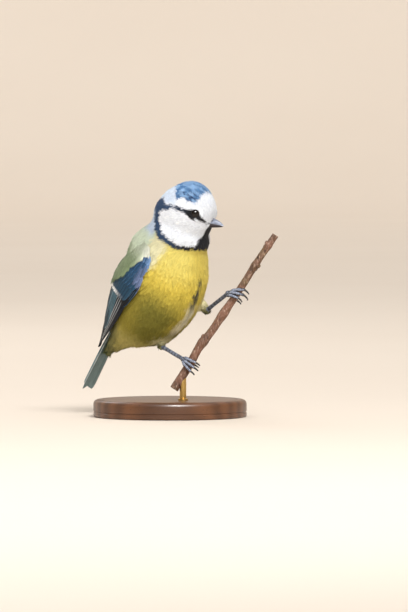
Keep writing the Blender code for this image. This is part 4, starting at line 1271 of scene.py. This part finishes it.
def make_knee_tufts(side, look):
    """Feathers that run over the end of a thigh onto the heel."""
    hip, heel = np.array(LEGS[side]["hip"]), np.array(LEGS[side]["heel"])
    axis = unit(heel - hip)
    first = unit(np.cross(axis, (0.0, 0.0, 1.0)))
    second = np.cross(axis, first)
    rng = np.random.default_rng(90)
    share, turn = rng.random(210), tau * rng.random(210)
    out = np.cos(turn)[:, None] * first + np.sin(turn)[:, None] * second
    radius = 2.1 - 1.0 * share**1.5
    roots = heel - axis * (5.0 * (1 - share) - 0.2)[:, None] + out * radius[:, None]
    lies = unit(axis + out * 0.05)
    tint = blend(THIGH * 0.8, KNEE, ease(0.1, 0.75, share))
    grown(
        "knee_tufts_" + side, roots, laid(out, lies), lies, plume_shape(7), 2.1, 0.55, tint, look,
        "body_plumage", 91, 0.12, 9.0,
    )


def shade_plates(mesh, lines, plain=0.0):
    """Dark skin in the gaps between plates, from each point's place along the nearest line. The skin is also painted
    lighter where it faces away from the twig and darker on its sides.
    """
    points = points_of(mesh)
    best, phase = np.full(len(points), 1e9), np.zeros(len(points))
    for line, plates in lines:
        path = np.array([tuple(p) for p in line])
        gaps = np.linalg.norm(points[:, None] - path[None], axis=2)
        near, place = gaps.min(1), gaps.argmin(1)
        step = place / (len(path) - 1) * plates % 1.0
        phase, best = np.where(near < best, step, phase), np.minimum(near, best)
    gap = bell(np.minimum(phase, 1 - phase) / 0.16)
    grain = waves(points, 0.7, 14) * 0.14 + waves(points, 2.0, 15) * 0.12
    off = unit(from_twig(points))
    # Painted highlight where the skin faces away from the twig's axis, and painted shade on its sides and where it
    # faces the twig. plain is the least level.
    painted_side_light = np.maximum(0.12 + ease(0.35, 0.88, np.sum(off * normals_of(mesh), 1)), plain)
    paint(mesh, "plumage", np.clip((painted_side_light + grain) * (1 - 0.8 * gap), 0.04, 1.3)[:, None])


def make_twig(look, cut_look):
    steps, count, rings = 220, 28, []
    for step in range(steps + 1):
        share = step / steps
        radius, point = twig_radius(share), twig_point(share)
        ring = []
        for k in range(count):
            turn = tau * k / count
            wrinkle = 0.022 * sin(3 * turn + 9 * share) + 0.012 * sin(7 * turn + 60 * share)
            knot = 0.015 * sin(220 * share + 2 * turn) * sin(31 * share)
            ring.append(point + (TO_BIRD * cos(turn) + TO_VIEWER * sin(turn)) * (radius * (1 + wrinkle + knot)))
        rings.append(ring)
    parts = [loft(rings)]
    for share, turn, size in BUDS:
        out = TO_BIRD * cos(turn) + TO_VIEWER * sin(turn)
        foot = twig_point(share) + out * (twig_radius(share) * 0.6)
        middle, tip = TWIG_AXIS * 0.9 + out * 0.75, TWIG_AXIS * 2.0 + out * 1.05
        line = path_of([foot, foot + middle * size, foot + tip * size], 18)
        fat = size * 0.78 * (1 - np.linspace(0, 1, 18) ** 2.2) + 0.10
        parts.append(tube(line, fat, 14, relief=lambda i, turn: 1 + 0.06 * ((i / 17 * 4) % 1.0)))
        scar = bmesh.new()
        bmesh.ops.create_uvsphere(scar, u_segments=20, v_segments=10, radius=1.0)
        bmesh.ops.scale(scar, vec=(0.9 * size, 0.9 * size, 0.35 * size), verts=scar.verts)
        bmesh.ops.rotate(scar, matrix=out.to_track_quat("Z", "Y").to_matrix(), verts=scar.verts)
        spot = twig_point(share - 0.012) + out * (twig_radius(share - 0.012) * 0.92)
        bmesh.ops.translate(scar, vec=spot, verts=scar.verts)
        parts.append(scar)
    mesh = joined("twig", parts)
    with editing(mesh) as bm:
        cut = caps = [face for face in bm.faces if len(face.verts) == count]
        for _ in range(7):
            cut = cut + bmesh.ops.inset_individual(bm, faces=caps, thickness=0.21 * MM, use_even_offset=True)["faces"]
        for face in cut:
            face.smooth, face.material_index = False, 1
    rings = 0.5 + 0.5 * np.cos(np.linalg.norm(from_twig(points_of(mesh)), axis=1) * 9.0)
    paint(mesh, "plumage", ink(214, 188, 140) * (1 - 0.35 * rings[:, None]))
    dress("twig", mesh, [look, cut_look], ["perch"])


# Head details


def eye_axes(side):
    """Matrix at an eye, with +X the way that it looks."""
    x, y, z = EYE_AT
    skull = Matrix.Translation(SKULL[0]) @ Matrix(SKULL[1].T.tolist()).to_4x4()
    turn = Matrix.Rotation(radians(side * (90 - EYE_TURN)), 4, "Z")
    return skull @ Matrix.Translation((x, side * y, z)) @ turn


def make_eyes(look, lid_look):
    for side, word in SIDES:
        place = eye_axes(side)
        globe = bmesh.new()
        bmesh.ops.create_uvsphere(globe, u_segments=48, v_segments=32, radius=EYE_RADIUS)
        bmesh.ops.rotate(globe, matrix=Matrix.Rotation(radians(90), 3, "Y"), verts=globe.verts)
        for vert in globe.verts:
            vert.co.x += 0.28 * max(0.0, vert.co.x / EYE_RADIUS - 0.8)
        ahead = np.array([vert.co.normalized().x for vert in globe.verts])
        bmesh.ops.transform(globe, matrix=place, verts=globe.verts)
        mesh = joined("eyeball_" + word, [globe])
        pupil = ease(0.90, 0.915, ahead)
        iris = blend(ink(10, 8, 8), ink(26, 17, 14), ease(0.70, 0.8, ahead))
        paint(mesh, "plumage", blend(iris, ink(6, 6, 7), pupil))
        dress("eyeball_" + word, mesh, look, ["eye_" + word])

        ring = turned([(depth, radius, 0) for depth, radius in LID_OUTLINE], (1, 0, 0), 120, True)
        reaches = []
        for vert in ring.verts:
            turn = np.arctan2(vert.co.z, vert.co.y)
            out, reach = Vector((0, cos(turn), sin(turn))), sqrt(vert.co.y**2 + vert.co.z**2)
            reaches.append(reach)
            if 1.65 < reach < 2.0:
                vert.co.x += 0.05 * abs(sin(turn * 15))
            vert.co -= out * 0.18 * abs(sin(turn)) ** 3 * (reach < 2.0)
        bmesh.ops.transform(ring, matrix=place, verts=ring.verts)
        lid = joined("eyelids_" + word, [ring])
        paint(lid, "plumage", blend(ink(52, 50, 50), ink(22, 22, 26), ease(1.66, 1.82, np.array(reaches))))
        dress("eyelids_" + word, lid, lid_look)


def make_eye_fringe(look):
    """The smallest feathers, in rings round each eye, pointing away from it."""
    for side, word in SIDES:
        place = np.array(eye_axes(side))
        rng = np.random.default_rng(41)
        spots, outs = [], []
        for reach, count in ((1.86, 44), (2.06, 48), (2.28, 52), (2.52, 56), (2.8, 60)):
            turn = tau * (np.arange(count) + rng.uniform(-0.3, 0.3, count)) / count
            circle = np.stack((np.zeros(count), np.cos(turn), np.sin(turn)), 1)
            spots.append(circle * reach + (2.08 - 0.12 * (reach - 1.86), 0, 0))
            outs.append(circle)
        spots, outs = np.concatenate(spots), np.concatenate(outs)
        roots = spots @ place[:3, :3].T + place[:3, 3]
        outward = outs @ place[:3, :3].T
        normals = unit(place[:3, 0] + outward * 0.15)
        lies = laid(unit(lie_of(roots, normals) * 0.55 + outward), normals)
        grown(
            "eye_fringe_" + word, roots, normals, lies, plume_shape(5), 1.05, 0.24, plumage(roots + lies * 0.5),
            look, "collar_plumage", 43, 0.22, 8.0,
        )


def bill_half(upper):
    """Half of the bill, with a ridge on top, sharp cutting edges and a nostril in the upper one."""
    count, steps, rings = 40, 70, []
    sign = 1 if upper else -1
    for step in range(steps + 1):
        share = step / steps
        tip = BILL_TIP_X if upper else BILL_TIP_X - 0.45
        x = BILL_ROOT_X - 0.6 + (tip - BILL_ROOT_X + 0.6) * share
        taper = (1 - share**1.9) ** 0.75
        wide = max(BILL_HALF_WIDTH * (1 - share**1.15) ** 0.9, 0.10)
        deep = max((BILL_UPPER_DEPTH if upper else BILL_LOWER_DEPTH) * taper, 0.14)
        mouth = BILL_MOUTH_Z + sign * 0.06 - 0.3 * share**3 + 0.2 * sin(pi * share)
        ring = []
        for k in range(count):
            turn = pi * k / (count - 1)
            rise = deep * max(sin(turn), 0.0) ** 0.86
            y = wide * cos(turn)
            if upper:
                hollow = bell((x - NOSTRIL_X) / 0.75) * bell((rise - NOSTRIL_RISE) / 0.42)
                y -= 0.42 * hollow * (1 if y > 0 else -1)
            ring.append(Vector(out_of((x, y, mouth + sign * rise), SKULL)))
        rings.append(ring)
    return loft(rings)


def paint_bill(mesh, upper):
    x, _, z = into(points_of(mesh), SKULL).T
    high = (z - BILL_MOUTH_Z) * (1 if upper else -1)
    cut = ease(0.5, 0.0, high) * (0.9 if upper else 0.5)
    dark = ease(1.2, 2.3, high) * 0.35 + ease(17.0, 19.0, x) * 0.2
    # The nostril is painted nearly black: painted shade in its hollow.
    hole = bell((x - NOSTRIL_X) / 0.6) * bell((high - NOSTRIL_RISE) / 0.34) if upper else 0
    level = (1 + 0.9 * cut - dark) * (1 - 0.9 * hole)
    tint = np.ones(3) if upper else np.array((0.15, 0.11, 0.10))
    paint(mesh, "plumage", np.clip(level, 0.05, 2)[:, None] * tint)


def make_bill(look):
    for upper, word in ((True, "upper"), (False, "lower")):
        mesh = joined("beak_" + word, [bill_half(upper)])
        paint_bill(mesh, upper)
        dress("beak_" + word, mesh, look, ["bill_" + word])


def make_bristles(look):
    """Short stiff bristles over the nostrils and at the corners of the mouth."""
    rng = np.random.default_rng(101)
    roots, lies = [], []
    for side in (1, -1):
        for _ in range(34):
            x, y = 12.3 + rng.uniform(-0.5, 0.5), side * rng.uniform(0.5, 2.2)
            roots.append((x, y, BILL_MOUTH_Z + rng.uniform(0.9, 3.0)))
            lies.append((1.0, side * rng.uniform(0.0, 0.45), rng.uniform(-0.35, 0.15)))
    roots, lies = out_of(np.array(roots), SKULL), unit(np.array(lies) @ SKULL[1])
    sides = unit(np.cross(SKULL[1][2], lies))
    spots, faces = strand_shape()
    length = rng.uniform(1.2, 2.4, len(roots))
    made = (
        roots[:, None]
        + lies[:, None] * (spots[None, :, 0] * length[:, None])[..., None]
        + sides[:, None] * (spots[None, :, 1] * 0.07)[..., None]
        + np.cross(lies, sides)[:, None] * (0.25 * spots[None, :, 0] ** 2)[..., None]
    )
    index = faces[None] + (np.arange(len(roots)) * len(spots))[:, None, None]
    mesh = mesh_of("bristles", made.reshape(-1, 3), index.reshape(-1, 3))
    paint(mesh, "plumage", ink(40, 46, 58))
    lay_out(mesh, "OFBake", np.repeat(unwrapped(roots), len(spots), 0))
    dress("bristles", mesh, look)


# Stand


def make_base(look):
    """Turned base with a rounded rim and a fine groove."""
    mesh = joined("base", [turned([(radius, 0, height) for radius, height in BASE_OUTLINE], (0, 0, 1), 160)])
    mesh.set_sharp_from_angle(angle=radians(34))
    dress("base", mesh, look, ["stand_base"])


def make_rod(look):
    """Rod from a small collar up to the twig's underside, cut to its curve."""
    at, twig = twig_point(ROD_AT), twig_radius(ROD_AT)
    top = at.z - twig / TWIG_AXIS.x * 0.92
    turns = [(cos(tau * k / 40), sin(tau * k / 40)) for k in range(40)]
    rings = [
        [Vector((at.x + radius * c, at.y + radius * s, z)) for c, s in turns]
        for radius, z in (*COLLAR, (ROD_RADIUS, top))
    ]
    for share in (0.35, 0.7, 1.0):
        ring = []
        for c, s in turns:
            x, y = ROD_RADIUS * c, ROD_RADIUS * s
            under = at.z + (x * TWIG_AXIS.z - sqrt(twig**2 - y**2)) / TWIG_AXIS.x - 0.05
            ring.append(Vector((at.x + x, at.y + y, top + (under - top) * share)))
        rings.append(ring)
    mesh = joined("rod", [loft(rings)])
    mesh.set_sharp_from_angle(angle=radians(40))
    dress("rod", mesh, look, ["stand_rod"])


# Studio


def make_floor(look):
    """Round floor that runs up into a backdrop on every side, in metres."""
    outline = [(0.0, 0.0), (1.5, 0.0), (4.2, 0.0)]
    outline += [(4.2 + 1.6 * sin(radians(a)), 1.6 - 1.6 * cos(radians(a))) for a in range(6, 91, 6)]
    outline += [(5.8, 4.5)]
    bm = turned([(radius, 0, height) for radius, height in outline], (0, 0, 1), 96)
    bmesh.ops.reverse_faces(bm, faces=bm.faces)
    for face in bm.faces:
        face.smooth = True
    mesh = bpy.data.meshes.new("floor")
    bm.to_mesh(mesh)
    bm.free()
    mesh.materials.append(look)
    link("floor", mesh)


def lamp(name, kind, spot, power, tint, **settings):
    """A light that is turned towards the bird."""
    light = bpy.data.lights.new(name, kind)
    light.energy, light.color = power, tint
    for key, value in settings.items():
        setattr(light, key, value)
    obj = link(name, light)
    obj.location = spot
    obj.rotation_euler = (LIT_AT - Vector(spot)).to_track_quat("-Z", "Y").to_euler()
    return obj


def make_studio():
    scene = bpy.context.scene
    scene.view_settings.view_transform = "Standard"
    world = bpy.data.worlds.new("studio")
    scene.world = world
    world.use_nodes = True
    sky = world.node_tree.nodes["Background"]
    sky.inputs["Color"].default_value = (0.96, 0.98, 1.0, 1.0)
    sky.inputs["Strength"].default_value = 0.66
    day, lit = (1.0, 0.99, 0.975), (1.0, 0.995, 0.985)
    lamp("day", "SUN", (0.55, -0.95, 1.05), 1.6, day, angle=radians(20))
    lamp("window", "AREA", (0.16, -0.80, 0.80), 6.6, lit, shape="RECTANGLE", size=0.34, size_y=0.28)
    fill = lamp("fill", "AREA", (-0.45, -1.3, 0.22), 3.4, (0.95, 0.975, 1.0), size=0.8)
    fill.visible_glossy = False
    glint = lamp("glint", "AREA", (0.15, -0.74, 0.73), 11.0, lit, shape="RECTANGLE", size=0.26, size_y=0.22)
    glint.visible_diffuse = False
    lamp("rim", "AREA", (-0.5, 0.9, 0.9), 3.0, (1.0, 0.99, 0.98), size=0.6)


def make_camera():
    camera = bpy.data.cameras.new("camera")
    camera.sensor_fit, camera.sensor_width, camera.sensor_height = "VERTICAL", 36.0, 36.0
    camera.lens = 36.0 * CAMERA_FAR / FRAME_HEIGHT
    camera.clip_start, camera.clip_end = 0.1, 20.0
    rise = radians(CAMERA_RISE)
    way = Vector((0.0, -cos(rise), sin(rise)))
    obj = bpy.context.scene.camera = link("camera", camera)
    obj.location = Vector(CAMERA_AIM) + way * CAMERA_FAR
    obj.rotation_euler = (-way).to_track_quat("-Z", "Y").to_euler()


def build():
    plume, vane = plume_look("plume"), vane_look("vane")
    leg = horn_look("leg_skin", ink(118, 128, 150), ink(182, 190, 208), 0.32, 1500.0)
    claw = horn_look("claw_horn", ink(48, 48, 50), ink(92, 88, 84), 0.25)
    bill = horn_look("bill_horn", ink(122, 130, 150), ink(164, 172, 190), 0.28)
    lid = plume_look("lid_skin", 1.0, 0.05)

    skin = make_skin()
    # The skin under the coat is painted a little darker than the feathers' colour: painted shade between the feathers.
    dress("skin", skin, plume_look("skin_under", 0.92, 0.1), list(FLESH))
    make_coat(skin, plume)
    for side, word in SIDES:
        name = "wing_vanes_" + word
        dress(name, vanes_mesh(name, wing_rows(side)), vane, ["wing_" + word])
        make_wing_cover(side, word, plume)
        make_leg(word, leg, claw)
        make_knee_tufts(word, plume)
    # The tail's undersides are painted only a little darker: painted shade.
    dress("tail_vanes", vanes_mesh("tail_vanes", tail_vanes(), underside_shade=0.9), vane, ["tail"])
    make_eyes(eye_look(), lid)
    make_eye_fringe(plume)
    make_bill(bill)
    make_bristles(plume)
    make_twig(bark_look(), cut_wood_look())
    make_base(stand_wood_look())
    make_rod(brass_look())
    make_floor(floor_look())
    make_studio()
    make_camera()


build()
